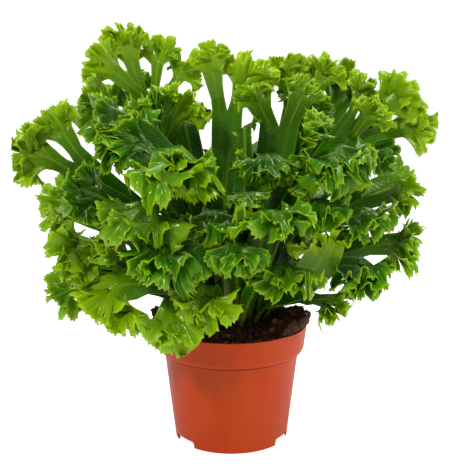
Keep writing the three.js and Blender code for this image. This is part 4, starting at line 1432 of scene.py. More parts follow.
    def arm(self, root: Attachment, crest: CrestPlan, stem: float) -> Arm:
        """Bends the arm from the fork to a crest's root, a cubic that leaves along the strap.

        Args:
            root: The part of the fork that the arm grows from.
            crest: The plan of the crest that it carries.
            stem: Its share of the way to the crest's tip.

        Returns:
            The arm.
        """
        reach = np.array(crest.tip, float) - root.centre
        end = root.centre + reach * stem + UP * np.linalg.norm(reach) * self.arm_rise
        length = np.linalg.norm(end - root.centre)
        leaving, arriving = (
            unit(root.along * kept + unit(reach) * turned) for kept, turned in self.arm_turns
        )
        leave = root.centre + leaving * length * self.arm_leave
        arrive = end - arriving * length * self.arm_arrive
        widths = (root.half, root.half * self.arm_waist, root.half * self.arm_end_width)
        return Arm([root.centre, leave, arrive, end], root.normal, widths, root.face)

    def arm_end(self, arm: Arm, root: Attachment) -> Attachment:
        """The edge at the arm's end, which its crest grows from."""
        frame = (part[0] for part in arm.frame(np.array([1.0])))
        return Attachment(arm.controls[3], root.half * self.arm_end_width, *frame, root.face)

    def marked(self, *values: Array | float) -> Array:
        """Stacks the marks of a grid, and adds the frond's own tone."""
        return np.stack(np.broadcast_arrays(*values, self.plan.age), axis=-1)

    def add_strap(
        self, sheet: Sheet, strap: Ribbon, wide: Array, centres: Array, length: float, end: float
    ) -> Array:
        """Adds the strap, whose rib splits toward each crest.

        Args:
            sheet: The sheet that takes the rows.
            strap: The ribbon that the rows follow.
            wide: The places across of each column.
            centres: The places across that the ribs run to.
            length: The strap's length, which spaces its side veins.
            end: The value of along at the strap's end.

        Returns:
            The numbers of the strap's last row.
        """
        u, v = np.meshgrid(wide, np.linspace(0, 1, self.strap_rows + 1))
        width = strap.half_width(v)
        aims = centres[:, None, None] * smooth(*self.rib_split, v)
        off_rib = np.abs(u - aims).min(axis=0) * width
        strength = 1 if len(centres) == 1 else 1 - self.rib_fade * smooth(*self.rib_fading, v)
        rib = np.clip(1 - off_rib / self.rib_width, 0, 1) * strength
        off_margin = (1 - np.abs(u)) * width
        margin = self.strap_margin * np.clip(1 - off_margin / self.margin_width, 0, 1)
        margin = margin * smooth(*self.margin_start, v)
        vein = (v * length + np.abs(u) * width * self.vein_slant) / self.vein_spacing
        return sheet.grid(strap.at(u, v), self.marked(margin, rib, vein, end * v), None)

    def add_arm(self, sheet: Sheet, arm: Arm, wide: Array, first: Array | None) -> Array:
        """Adds the rows of an arm after the strap's last row, or from its own first row.

        Args:
            sheet: The sheet that takes the rows.
            arm: The ribbon that the rows follow.
            wide: The places across of each column.
            first: The numbers of the row that the arm starts from, or None.

        Returns:
            The numbers of the arm's last row.
        """
        rows = np.linspace(0, 1, self.arm_rows + 1)
        u, v = np.meshgrid(wide, rows if first is None else rows[1:])
        width = arm.half_width(v)
        rib = np.clip(1 - np.abs(u) * width / self.arm_rib_width, 0, 1)
        off_margin = (1 - np.abs(u)) * width
        margin = self.arm_margin * np.clip(1 - off_margin / self.margin_width, 0, 1)
        marks = self.marked(margin, rib, u * 3, self.ARM_START + self.ARM_SHARE * v)
        return sheet.grid(arm.at(u, v), marks, first)

    def add_crest(
        self, sheet: Sheet, crest: Crest, wide: Array, first: Array | None, count: int
    ) -> None:
        """Adds a crest: a rib runs into each lobe, and fine veins fan out between the ribs.

        Args:
            sheet: The sheet that takes the rows.
            crest: The surface that the rows follow.
            wide: The places across of each column.
            first: The numbers of the row that the crest starts from, or None.
            count: How many rows there are, set closer toward the edge.
        """
        rows = 1 - (1 - np.linspace(0, 1, count + 1)) ** self.crowding
        u, share = np.meshgrid(wide, rows if first is None else rows[1:])
        reach = np.linalg.norm(crest.rim_point(u) - crest.left, axis=-1)
        place = (u + 1) / 2 * crest.lobes
        spacing = crest.lobe_width * share + self.crest_spacing
        off_rib = np.abs(place % 1 - 0.5) * spacing
        rib = self.crest_rib * np.clip(1 - off_rib, 0, 1) * (1 - smooth(*self.crest_fading, share))
        outer = (1 - share) * reach * self.edge_nearness
        side = (1 - np.abs(u)) * 0.5 * crest.lobes * spacing
        margin = np.clip(1 - np.minimum(outer, side) / self.crest_margin_width, 0, 1)
        along = self.CREST_START + self.CREST_SHARE * share
        marks = self.marked(margin, rib, place * self.lobe_veins, along)
        sheet.grid(crest.at(u, share), marks, first)

    def dress(self, material: Material) -> Piece:
        """Makes the frond's object, which stands for the solid of the same name.

        Args:
            material: What the leaf is made of.

        Returns:
            The object.
        """
        piece = self.surface().make(self.plan.name + "_leaf", material)
        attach(piece, "root")
        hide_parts(self.plan.name)
        return piece


def carried(radius: Array, angles: Array, height: Array) -> Array:
    """Points at some radii and heights, one angle a row."""
    turn = angles[:, None]
    return np.stack(np.broadcast_arrays(radius * np.cos(turn), radius * np.sin(turn), height), -1)


def lathed(grid: Array, start: Array, end: Array) -> Surface:
    """Closes a profile carried round an axis: quads between neighbours, a fan at each pole.

    Args:
        grid: The points, as angles by steps by 3.
        start: The point on the axis that the first steps close on.
        end: The point on the axis that the last steps close on.

    Returns:
        The closed surface, whose faces point outward where the profile starts at the bottom.
    """
    rows, columns = grid.shape[:2]
    numbers = np.arange(rows * columns).reshape(rows, columns)
    after = np.roll(numbers, -1, axis=0)
    quads = np.stack([numbers[:, :-1], after[:, :-1], after[:, 1:], numbers[:, 1:]], -1)
    first, last = np.full(rows, rows * columns), np.full(rows, rows * columns + 1)
    fans = np.concatenate([
        np.stack([after[:, 0], numbers[:, 0], first], -1),
        np.stack([numbers[:, -1], after[:, -1], last], -1),
    ])
    points = np.concatenate([grid.reshape(-1, 3), start[None], end[None]])
    return Surface(points, (quads.reshape(-1, 4), fans))


@dataclass
class NurseryPot:
    """The thin moulded pot: its profile carried round, its foot notched and its floor drilled."""

    height: float = 92.6
    rim_radius: float = 60.0
    band_height: float = 77.0
    band_radius: float = 57.9
    neck_height: float = 70.0
    neck_radius: float = 53.1
    foot_radius: float = 44.65
    wall: float = 1.2
    foot_ring: float = 1.4
    floor_height: float = 5.5
    floor_thickness: float = 1.4
    notch_angles: tuple[float, ...] = (-145.0, -25.0, 95.0)
    notch_span: float = 30.0
    notch_height: float = 5.0
    notch_round: float = 2.5
    drain_holes: int = 6
    drain_radius: float = 4.0
    drain_circle: float = 28.0
    drill_depth: float = 8.0
    sides: int = 240
    centre_radius: float = 6.0
    corner: float = 0.3
    floor_corner: float = 0.6
    inner_corner: float = 0.8
    notch_blend: float = 0.1
    notch_room: float = 0.05
    notch_steps: tuple[float, ...] = (-2e-4, 2e-4, 0.004, 0.012, 0.024, 0.04)
    foot_levels: tuple[float, ...] = (0.3, 2.0, 3.6)
    foot_middle: float = 2.0
    body_start: float = 5.4
    body_steps: int = 14
    step_steps: int = 8
    band_steps: int = 6
    rim_steps: int = 9
    body_room: float = 0.4
    band_room: float = 0.6
    inner_band_drop: float = 3.0
    inner_neck_rise: float = 1.5
    inner_middle: float = 40.0
    drain_sides: int = 24

    def outer_radius(self, z: Array) -> Array:
        """The outside: an even taper, a quarter-round step under the band, and the band's taper.

        Args:
            z: The heights.

        Returns:
            The radius at each height.
        """
        z = np.asarray(z, float)
        body = self.foot_radius + (self.neck_radius - self.foot_radius) * z / self.neck_height
        rise = np.clip((z - self.neck_height) / (self.band_height - self.neck_height), 0, 1)
        step = self.neck_radius + (self.band_radius - self.neck_radius) * np.sqrt(rise * (2 - rise))
        band = self.band_radius + (self.rim_radius - self.band_radius) * (
            (z - self.band_height) / (self.height - self.band_height)
        )
        return np.where(z < self.neck_height, body, np.where(z < self.band_height, step, band))

    def inner_radius(self, z: Array) -> Array:
        """The inside, one wall's thickness within the outside."""
        return self.outer_radius(np.minimum(z, self.height)) - self.wall

    def profile(self) -> Array:
        """Runs from the floor's underside, round the foot and the rim, to the floor's top.

        Returns:
            The radius and height of each step.
        """
        foot_inside = self.foot_radius - self.foot_ring
        under = np.array([
            (self.centre_radius, self.floor_height),
            (foot_inside - self.floor_corner, self.floor_height),
            (foot_inside, self.floor_height - self.floor_corner),
            (foot_inside, self.foot_middle),
            (foot_inside, self.corner),
            (foot_inside + self.corner, 0.0),
            (self.foot_radius - self.corner, 0.0),
        ])
        step = 1 - np.cos(np.linspace(0, np.pi / 2, self.step_steps))
        lip_height = self.height - self.wall / 2
        levels = np.concatenate([
            self.foot_levels,
            np.linspace(self.body_start, self.neck_height - self.body_room, self.body_steps),
            self.neck_height + (self.band_height - self.neck_height) * step,
            np.linspace(self.band_height + self.band_room, lip_height, self.band_steps),
        ])
        outside = np.stack([self.outer_radius(levels), levels], -1)
        turn = np.linspace(0, np.pi, self.rim_steps)[1:-1]
        lip = np.array([self.rim_radius - self.wall / 2, lip_height])
        rim = lip + self.wall / 2 * np.stack([np.cos(turn), np.sin(turn)], -1)
        floor_top = self.floor_height + self.floor_thickness
        falling = np.array([
            lip_height, self.band_height, self.band_height - self.inner_band_drop,
            self.neck_height + self.inner_neck_rise, self.neck_height, self.inner_middle,
            floor_top + self.inner_corner,
        ])
        inside = np.stack([self.inner_radius(falling), falling], -1)
        floor_edge = float(self.inner_radius(np.array(floor_top))) - self.inner_corner
        floor = np.array([(floor_edge, floor_top), (self.centre_radius, floor_top)])
        return np.concatenate([under, outside, rim, inside, floor])

    def foot_lift(self, angles: Array) -> Array:
        """How high the foot's edge is: an arch with round shoulders at each notch.

        Args:
            angles: The angles, in radians.

        Returns:
            The height at each angle.
        """
        lift = np.zeros_like(angles)
        half = math.radians(self.notch_span / 2) * self.foot_radius
        for notch in self.notch_angles:
            turn = (angles - math.radians(notch) + np.pi) % (2 * np.pi) - np.pi
            inward = np.clip((half - np.abs(turn) * self.foot_radius) / self.notch_round, 0, 1)
            arch = self.notch_height - self.notch_round * (1 - np.sqrt(inward * (2 - inward)))
            lift = np.maximum(lift, np.where(inward > 0, arch, 0.0))
        return lift

    def angles(self) -> Array:
        """Even steps round the pot, with some close together at each side of a notch.

        Returns:
            The angles in rising order, in radians.
        """
        even = np.linspace(0, 2 * np.pi, self.sides, endpoint=False)
        half = math.radians(self.notch_span / 2)
        ends = np.radians(self.notch_angles)[:, None] + np.array([-half, half])
        near = ends[:, :, None] - np.array([-1, 1])[None, :, None] * np.array(self.notch_steps)
        return np.unique(np.concatenate([even, near.ravel() % (2 * np.pi)]))

    def surface(self) -> Surface:
        """Carries the profile round the axis and lifts the foot's lowest points at the notches.

        Returns:
            The closed pot, before its floor is drilled.
        """
        profile = self.profile()
        angles = self.angles()
        radius, level = profile[:, 0][None], profile[:, 1][None]
        lift = self.foot_lift(angles)[:, None]
        low = (level < self.floor_height) & (radius > self.foot_radius - self.foot_ring - 1)
        raised = np.minimum(lift + self.notch_blend * level, self.floor_height - self.notch_room)
        grid = carried(radius, angles, np.where(low, np.maximum(level, raised), level))
        floor_top = self.floor_height + self.floor_thickness
        return lathed(grid, np.array([0, 0, self.floor_height]), np.array([0, 0, floor_top]))

    def drill(self, piece: Piece) -> None:
        """Cuts a ring of round drain holes through the floor and keeps the result in the mesh.

        Args:
            piece: The pot's object, whose mesh is replaced.
        """
        drill = bpy.data.meshes.new("drill")
        form = bmesh.new()
        for i in range(self.drain_holes):
            place = direction(360.0 * i / self.drain_holes, 0.0) * self.drain_circle
            place = place + UP * self.floor_height
            bmesh.ops.create_cone(
                form,
                cap_ends=True,
                segments=self.drain_sides,
                radius1=self.drain_radius * MM,
                radius2=self.drain_radius * MM,
                depth=self.drill_depth * MM,
                matrix=Matrix.Translation(place * MM),
            )
        form.to_mesh(drill)
        form.free()
        tool = bpy.data.objects.new("drill", drill)
        bpy.context.scene.collection.objects.link(tool)
        cut = piece.modifiers.new("drain holes", "BOOLEAN")
        cut.operation = "DIFFERENCE"
        cut.solver = "EXACT"
        cut.object = tool
        graph = bpy.context.evaluated_depsgraph_get()
        drilled = bpy.data.meshes.new_from_object(piece.evaluated_get(graph))
        piece.modifiers.remove(cut)
        undrilled, piece.data = piece.data, drilled
        bpy.data.meshes.remove(undrilled)
        bpy.data.objects.remove(tool)
        bpy.data.meshes.remove(drill)

    def dress(self, material: Material) -> Piece:
        """Makes the pot in place of its solid.

        Args:
            material: What the pot is made of.

        Returns:
            The object.
        """
        piece = self.surface().make("pot_moulding", material)
        self.drill(piece)
        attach(piece, "root")
        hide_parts("pot")
        return piece


GOLDEN = (1 + math.sqrt(5)) / 2
BALL_POINTS = unit(np.array([
    (-1, GOLDEN, 0), (1, GOLDEN, 0), (-1, -GOLDEN, 0), (1, -GOLDEN, 0), (0, -1, GOLDEN),
    (0, 1, GOLDEN), (0, -1, -GOLDEN), (0, 1, -GOLDEN), (GOLDEN, 0, -1), (GOLDEN, 0, 1),
    (-GOLDEN, 0, -1), (-GOLDEN, 0, 1),
]))
BALL_FACES = np.array([
    (0, 11, 5), (0, 5, 1), (0, 1, 7), (0, 7, 10), (0, 10, 11), (1, 5, 9), (5, 11, 4), (11, 10, 2),
    (10, 7, 6), (7, 1, 8), (3, 9, 4), (3, 4, 2), (3, 2, 6), (3, 6, 8), (3, 8, 9), (4, 9, 5),
    (2, 4, 11), (6, 2, 10), (8, 6, 7), (9, 8, 1),
])


class Seed(Enum):
    """The numbers that choose the soil's noises and strewings."""

    CLODS = 41
    CRUMBS = 42
    FINE = 43
    EDGE = 44
    CRUMB_PLACES = 51
    CRUMB_SHAPES = 52
    FIBRES = 61


class Strewing(Enum):
    """The largest share of the way to the edge, and how fast the places reach it.

    Past 0.7 the second puts more of them right on the edge.
    """

    CRUMBS = (0.985, 0.8)
    FIBRES = (0.99, 0.7)


@dataclass
class Soil:
    """Peat that fills the pot, with three heaps near the rim, which it spills over twice.

    A heap is its x and y, its height and its size. A spill is the angle of its middle and its
    half-span, in degrees. A crumb's bumps and stretch are a smallest value and what chance adds.
    """

    crown_height: float = 96.0
    crown_radius: float = 26.0
    edge_height: float = 90.0
    pot: NurseryPot = field(default_factory=NurseryPot)
    gap: float = 0.3
    spill_reach: float = 2.2
    spill_core: float = 0.3
    spill_wall: float = 1.6
    spill_height: float = 3.0
    edge_inset: float = 1.0
    edge_rising: Pair = (0.0, 0.5)
    edge_reaching: Pair = (0.5, 1.0)
    wall_middle: float = 30.0
    even_edge: Pair = (1.0, 0.97)
    heaps: tuple[tuple[float, float, float, float], ...] = (
        (49.0, -20.0, 12.0, 10.0), (-53.0, -6.0, 9.0, 9.0), (10.0, 46.0, 6.0, 14.0),
    )
    spills: tuple[Pair, ...] = ((-12.0, 42.0), (186.0, 40.0))
    sides: int = 320
    rings: int = 56
    grain: float = 2.2
    clod_size: float = 9.0
    lump_size: float = 4.6
    fine_size: float = 1.9
    grain_shares: tuple[float, float, float] = (1.5, 2.2, 1.9)
    grain_level: float = 0.95
    crest_room: float = 2.2
    raggedness: float = 0.02
    ragged_size: float = 3.0
    ragged_limit: float = 0.3
    rolls: int = 8
    bare_share: float = 0.3
    crumb_count: int = 2800
    crumb_size: float = 0.55
    crumb_growth: float = 2.1
    crumb_bumps: Pair = (0.7, 0.6)
    crumb_stretch: Pair = (0.6, 0.8)
    crumb_lift: float = 1.1
    fibre_count: int = 1800
    fibre_length: float = 4.0
    fibre_growth: float = 9.0
    fibre_radius: float = 0.19
    fibre_bend: float = 3.0
    fibre_arch: float = 4.5
    fibre_steps: int = 6
    fibre_lift: float = 1.5
    fibre_sink: float = 4.0
    fibre_taper: float = 1.2
    fibre_sides: int = 3

    def spill(self, angles: Array) -> Array:
        """How far each angle lies inside a spill.

        Args:
            angles: The angles, in radians.

        Returns:
            A value for each angle: 1 at the middle of a spill and 0 beyond its span.
        """
        amounts = []
        for middle, span in self.spills:
            away = np.abs((np.degrees(angles) - middle + 540.0) % 360.0 - 180.0)
            amounts.append(1.0 - smooth(span * self.spill_core, span, away))
        return np.max(amounts, axis=0)

    def edge(self, angles: Array) -> tuple[Array, Array, Array]:
        """Lifts the soil's edge over the pot's rim at the spills.

        Args:
            angles: The angles, in radians.

        Returns:
            The height where the soil leaves the wall, and the radius and height of its edge.
        """
        spill = self.spill(angles)
        raised, out = smooth(*self.edge_rising, spill), smooth(*self.edge_reaching, spill)
        inner = self.pot.rim_radius - self.pot.wall - self.gap - self.edge_inset
        wall_rise = self.pot.height - self.edge_height + self.spill_wall
        wall_top = self.edge_height - self.edge_inset + wall_rise * raised
        radius = inner + (self.pot.rim_radius + self.spill_reach - inner) * out
        edge_rise = self.pot.height + self.spill_height - self.edge_height
        height = self.edge_height + edge_rise * raised
        return wall_top, radius, height

    def height(self, x: Array, y: Array) -> Array:
        """The crown falls smoothly to the edge, with a bell curve added for each heap.

        Args:
            x: The places from left to right.
            y: The places from front to back.

        Returns:
            The height of the soil at each place, before it crumbles.
        """
        _, _, edge_height = self.edge(np.arctan2(y, x))
        fall = smooth(self.crown_radius, self.pot.rim_radius, np.hypot(x, y))
        total = self.crown_height + (edge_height - self.crown_height) * fall
        for heap_x, heap_y, rise, size in self.heaps:
            away = ((x - heap_x) ** 2 + (y - heap_y) ** 2) / size**2
            total = total + rise * np.exp(-away / 2)
        return total

    def crumbled(self, points: Array) -> Array:
        """The height that clods and crumbs add or take: three sizes of noise, sharpened upward.

        Args:
            points: The places on the soil.

        Returns:
            The height to add at each place.
        """
        clods = value_noise(points, self.clod_size, 3, Seed.CLODS.value)
        crumbs = np.abs(value_noise(points, self.lump_size, 2, Seed.CRUMBS.value))
        fine = np.abs(value_noise(points, self.fine_size, 2, Seed.FINE.value))
        large, middling, small = self.grain_shares
        total = large * clods + middling * crumbs + small * fine - self.grain_level
        return self.grain * total

    def surface(self) -> Surface:
        """Carries a closed profile round the axis: floor, wall, spilling edge and crumbly top.

        Returns:
            The closed soil.
        """
        angles = np.linspace(0, 2 * np.pi, self.sides, endpoint=False)
        wall_top, edge, edge_height = self.edge(angles)
        bottom = self.pot.floor_height + self.pot.floor_thickness + self.gap
        levels = np.array([bottom, self.wall_middle, self.pot.neck_height, self.pot.band_height])
        wall = carried(self.pot.inner_radius(levels) - self.gap, angles, levels)
        wall_edge = carried(
            (self.pot.inner_radius(wall_top) - self.gap)[:, None], angles, wall_top[:, None]
        )
        shares = np.linspace(1.0, 0.0, self.rings + 1)[:-1]
        top = carried(edge[:, None] * shares, angles, 0.0)
        smooth_height = self.height(top[..., 0], top[..., 1])
        top[..., 2] = smooth_height
        z = smooth_height + self.crumbled(top) * smooth(*self.even_edge, shares)
        top[..., 2] = np.minimum(z, smooth_height + self.crest_room)
        top[:, 0, 2] = edge_height
        grid = np.concatenate([wall, wall_edge, top], axis=1)
        first = len(levels) + 1
        ragged = value_noise(grid[:, first], self.ragged_size, 3, Seed.EDGE.value)[:, None]
        grid[:, first, :2] *= 1 + np.minimum(ragged, self.ragged_limit) * self.raggedness
        centre = np.array([0.0, 0.0, float(self.height(np.zeros(1), np.zeros(1))[0])])
        return lathed(grid, np.array([0.0, 0.0, bottom]), centre)

    def scattered(self, count: int, seed: Seed, strewing: Strewing) -> tuple[Array, Array]:
        """Places strewn over the top, thicker toward the edge, and a table of hashed numbers.

        Args:
            count: How many places there are.
            seed: Chooses the numbers.
            strewing: How the places thicken toward the edge.

        Returns:
            The places on the soil, and the numbers from 0 to 1 that shape each piece.
        """
        rolls = hashed(table_cells(count, self.rolls, 0), seed.value)
        out, crowd = strewing.value
        angles = 2 * np.pi * rolls[:, 0]
        _, edge, _ = self.edge(angles)
        radius = edge * out * np.minimum(self.bare_share + crowd * rolls[:, 1] ** 0.5, 1.0)
        x, y = radius * np.cos(angles), radius * np.sin(angles)
        return np.stack([x, y, self.height(x, y)], -1), rolls

    def crumbs(self) -> Surface:
        """Small lumps: a twenty-faced ball, squashed, turned and pulled about at random.

        Returns:
            All the lumps as one surface, with the tone of each.
        """
        corners = len(BALL_POINTS)
        places, rolls = self.scattered(self.crumb_count, Seed.CRUMB_PLACES, Strewing.CRUMBS)
        sizes = self.crumb_size + self.crumb_growth * rolls[:, 2] ** 3
        cells = table_cells(self.crumb_count, corners, 1)
        bumps = hashed(cells, Seed.CRUMB_SHAPES.value)
        smallest, added = self.crumb_bumps
        shape = BALL_POINTS * (smallest + added * bumps)[..., None]
        smallest, added = self.crumb_stretch
        stretch = smallest + added * rolls[:, 3:6]
        turn = 2 * np.pi * rolls[:, 6][:, None]
        shape = shape * stretch[:, None]
        turned = np.stack([
            shape[..., 0] * np.cos(turn) - shape[..., 1] * np.sin(turn),
            shape[..., 0] * np.sin(turn) + shape[..., 1] * np.cos(turn),
            shape[..., 2],
        ], -1)
        points = places[:, None] + turned * sizes[:, None, None]
        points[..., 2] += self.crumb_lift
        offsets = np.arange(self.crumb_count)[:, None, None] * corners
        faces = (BALL_FACES + offsets).reshape(-1, 3)
        return Surface(points.reshape(-1, 3), (faces,), {"tone": np.repeat(rolls[:, 7], corners)})

    def fibres(self) -> Surface:
        """Fine bits of root: thin bent tubes of three sides, each lying on the soil.

        Returns:
            All the fibres as one surface, with the tone of each.
        """
        places, rolls = self.scattered(self.fibre_count, Seed.FIBRES, Strewing.FIBRES)
        steps = np.linspace(-0.5, 0.5, self.fibre_steps)
        azimuth = 2 * np.pi * rolls[:, 2]
        bend = (rolls[:, 3] - 0.5) * self.fibre_bend
        length = self.fibre_length + self.fibre_growth * rolls[:, 4] ** 2
        heading = azimuth[:, None] + bend[:, None] * steps
        path = places[:, None] + length[:, None, None] * np.stack([
            np.cos(heading) * steps, np.sin(heading) * steps, np.zeros_like(heading),
        ], -1)
        ground = self.height(path[..., 0], path[..., 1])
        arch = (0.25 - steps**2) * 4 * (rolls[:, 5] ** 2 * self.fibre_arch)[:, None]
        path[..., 2] = np.minimum(path[..., 2] + self.fibre_sink, ground) + self.fibre_lift + arch
        side = np.stack([-np.sin(heading), np.cos(heading), np.zeros_like(heading)], -1)
        angles = 2 * np.pi * np.arange(self.fibre_sides) / self.fibre_sides
        radius = self.fibre_radius + self.fibre_radius * rolls[:, 6]
        taper = 1 - self.fibre_taper * np.abs(steps)
        spread = (radius[:, None] * taper)[..., None, None]
        around = side[..., None, :] * np.cos(angles)[:, None] + UP * np.sin(angles)[:, None]
        points = path[..., None, :] + spread * around
        count, rows = points.shape[:2]
        numbers = np.arange(count * rows * self.fibre_sides).reshape(count, rows, -1)
        after = np.roll(numbers, -1, axis=2)
        quads = np.stack([numbers[:, :-1], after[:, :-1], after[:, 1:], numbers[:, 1:]], -1)
        ends = np.concatenate([numbers[:, 0, ::-1], numbers[:, -1]])
        tone = np.repeat(rolls[:, 7], rows * self.fibre_sides)
        return Surface(points.reshape(-1, 3), (quads.reshape(-1, 4), ends), {"tone": tone})

    def dress(self, ground: Material, loose: Material) -> list[Piece]:
        """Makes the soil in place of its solid, and the crumbs and fibres that lie on it.

        Args:
            ground: What the soil is made of.
            loose: What the crumbs and fibres are made of.

        Returns:
            The three objects.
        """
        soil = self.surface().make("soil_ground", ground)
        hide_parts("soil")
        crumbs = self.crumbs().make("soil_crumbs", loose)
        fibres = self.fibres().make("soil_fibres", loose)
        for piece in (soil, crumbs, fibres):
            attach(piece, "root")
        return [soil, crumbs, fibres]


def srgb(colour: Colour) -> tuple[float, float, float, float]:
    """Turns a colour from a screen's values to linear light.

    Args:
        colour: Its red, green and blue, from 0 to 255.

    Returns:
        The same in linear light from 0 to 1, and full opacity.
    """
    shares = [c / 255 for c in colour]
    linear = [c / 12.92 if c < 0.0405 else ((c + 0.055) / 1.055) ** 2.4 for c in shares]
    return (linear[0], linear[1], linear[2], 1.0)


class Graph:
    """Puts nodes into a tree, each with its settings and inputs in one call."""

    def __init__(self, tree: Tree) -> None:
        """Takes the tree to fill."""
        self.tree = tree

    def feed(self, node: bpy.types.Node, inputs: dict[str | int, Value]) -> None:
        """Sets or links inputs of a node.

        Args:
            node: The node.
            inputs: A value or a socket for each input, by its name or number.
        """
        for key, value in inputs.items():
            if isinstance(value, Socket):
                self.tree.links.new(value, node.inputs[key])
            else:
                node.inputs[key].default_value = value

    def node(
        self, kind: str, inputs: dict[str | int, Value] | None = None, **settings: object
    ) -> bpy.types.Node:
        """Adds a node, sets its properties and feeds its inputs.

        Args:
            kind: The node's type, without the leading words that all shader nodes share.
            inputs: Values or sockets for the node's inputs, by name or number.
            settings: The node's own properties.

        Returns:
            The new node.
        """
        made = self.tree.nodes.new("ShaderNode" + kind)
        for name, value in settings.items():
            setattr(made, name, value)
        self.feed(made, inputs or {})
        return made

    def math(self, operation: str, first: Value, second: Value = 0, clamp: bool = False) -> Socket:
        """The result of one sum on two values."""
        inputs = {0: first, 1: second}
        return self.node("Math", inputs, operation=operation, use_clamp=clamp).outputs[0]

    def times(self, first: Value, second: Value) -> Socket:
        """The product of two values."""
        return self.math("MULTIPLY", first, second)

    def plus(self, first: Value, second: Value, clamp: bool = False) -> Socket:
        """The sum of two values, held between 0 and 1 where it is clamped."""
        return self.math("ADD", first, second, clamp)

    def mix(self, factor: Value, first: Value, second: Value) -> Socket:
        """The first colour changed toward the second by a factor, in the colour sockets."""
        inputs = {0: factor, 6: first, 7: second}
        return self.node("Mix", inputs, data_type="RGBA").outputs[2]

    def ramp(
        self, factor: Value, low: float, high: float, start: float = 0.0, stop: float = 1.0
    ) -> Socket:
        """Maps low to start and high to stop with a smooth step between them."""
        inputs = {0: factor, "From Min": low, "From Max": high, "To Min": start, "To Max": stop}
        return self.node("MapRange", inputs, interpolation_type="SMOOTHSTEP").outputs[0]

    def noise(self, place: Socket, scale: Value, detail: float) -> Socket:
        """Soft noise at a place."""
        inputs = {"Vector": place, "Scale": scale, "Detail": detail}
        return self.node("TexNoise", inputs).outputs[0]

    def bump(self, height: Socket, strength: float, distance: float) -> Socket:
        """The normal that a height makes on a surface."""
        inputs = {"Height": height, "Strength": strength, "Distance": distance}
        return self.node("Bump", inputs).outputs[0]

    def mark(self, name: str) -> Socket:
        """The value that the mesh holds at each point under a name."""
        return self.node("Attribute", attribute_name=name, attribute_type="GEOMETRY").outputs["Fac"]

    def spots(self, tree: Tree, scales: tuple[float, float, float]) -> tuple[Socket, Socket]:
        """Places the shared mottle group.

        Args:
            tree: The group.
            scales: Its blotch scale, grain scale and contrast.

        Returns:
            The masks of its blotches and its grain.
        """
        inputs = dict(zip(("Blotch Scale", "Grain Scale", "Contrast"), scales))
        made = self.node("Group", inputs, node_tree=tree)
        return made.outputs["Blotches"], made.outputs["Grain"]


def mottle_group() -> Tree:
    """Makes soft blotches and fine grain on Object coordinates, as a mask each from 0 to 1.

    Returns:
        The group that the finishes share.
    """
    tree = bpy.data.node_groups.new("mottle", "ShaderNodeTree")
    for name, default in (("Blotch Scale", 20.0), ("Grain Scale", 400.0), ("Contrast", 0.2)):
        socket = tree.interface.new_socket(name=name, in_out="INPUT", socket_type="NodeSocketFloat")
        socket.default_value = default
    for name in ("Blotches", "Grain"):
        tree.interface.new_socket(name=name, in_out="OUTPUT", socket_type="NodeSocketFloat")
    graph = Graph(tree)
    entry = tree.nodes.new("NodeGroupInput")
    leave = tree.nodes.new("NodeGroupOutput")
    place = graph.node("TexCoord").outputs["Object"]
    low = graph.math("SUBTRACT", 0.5, entry.outputs["Contrast"])
    high = graph.math("ADD", 0.5, entry.outputs["Contrast"])
    for name, scale, detail in (("Blotches", "Blotch Scale", 2.0), ("Grain", "Grain Scale", 4.0)):
        noise = graph.noise(place, entry.outputs[scale], detail)
        graph.feed(leave, {name: graph.ramp(noise, low, high)})
    return tree


def blank_material(name: str) -> tuple[Material, Graph, bpy.types.Node]:
    """Makes a material with nothing but its surface shader.

    Args:
        name: The material's name.

    Returns:
        The material, the graph that fills it and its shader.
    """
    material = bpy.data.materials.new(name)
    material.use_nodes = True
    graph = Graph(material.node_tree)
    shader = next(n for n in material.node_tree.nodes if n.type == "BSDF_PRINCIPLED")
    return material, graph, shader


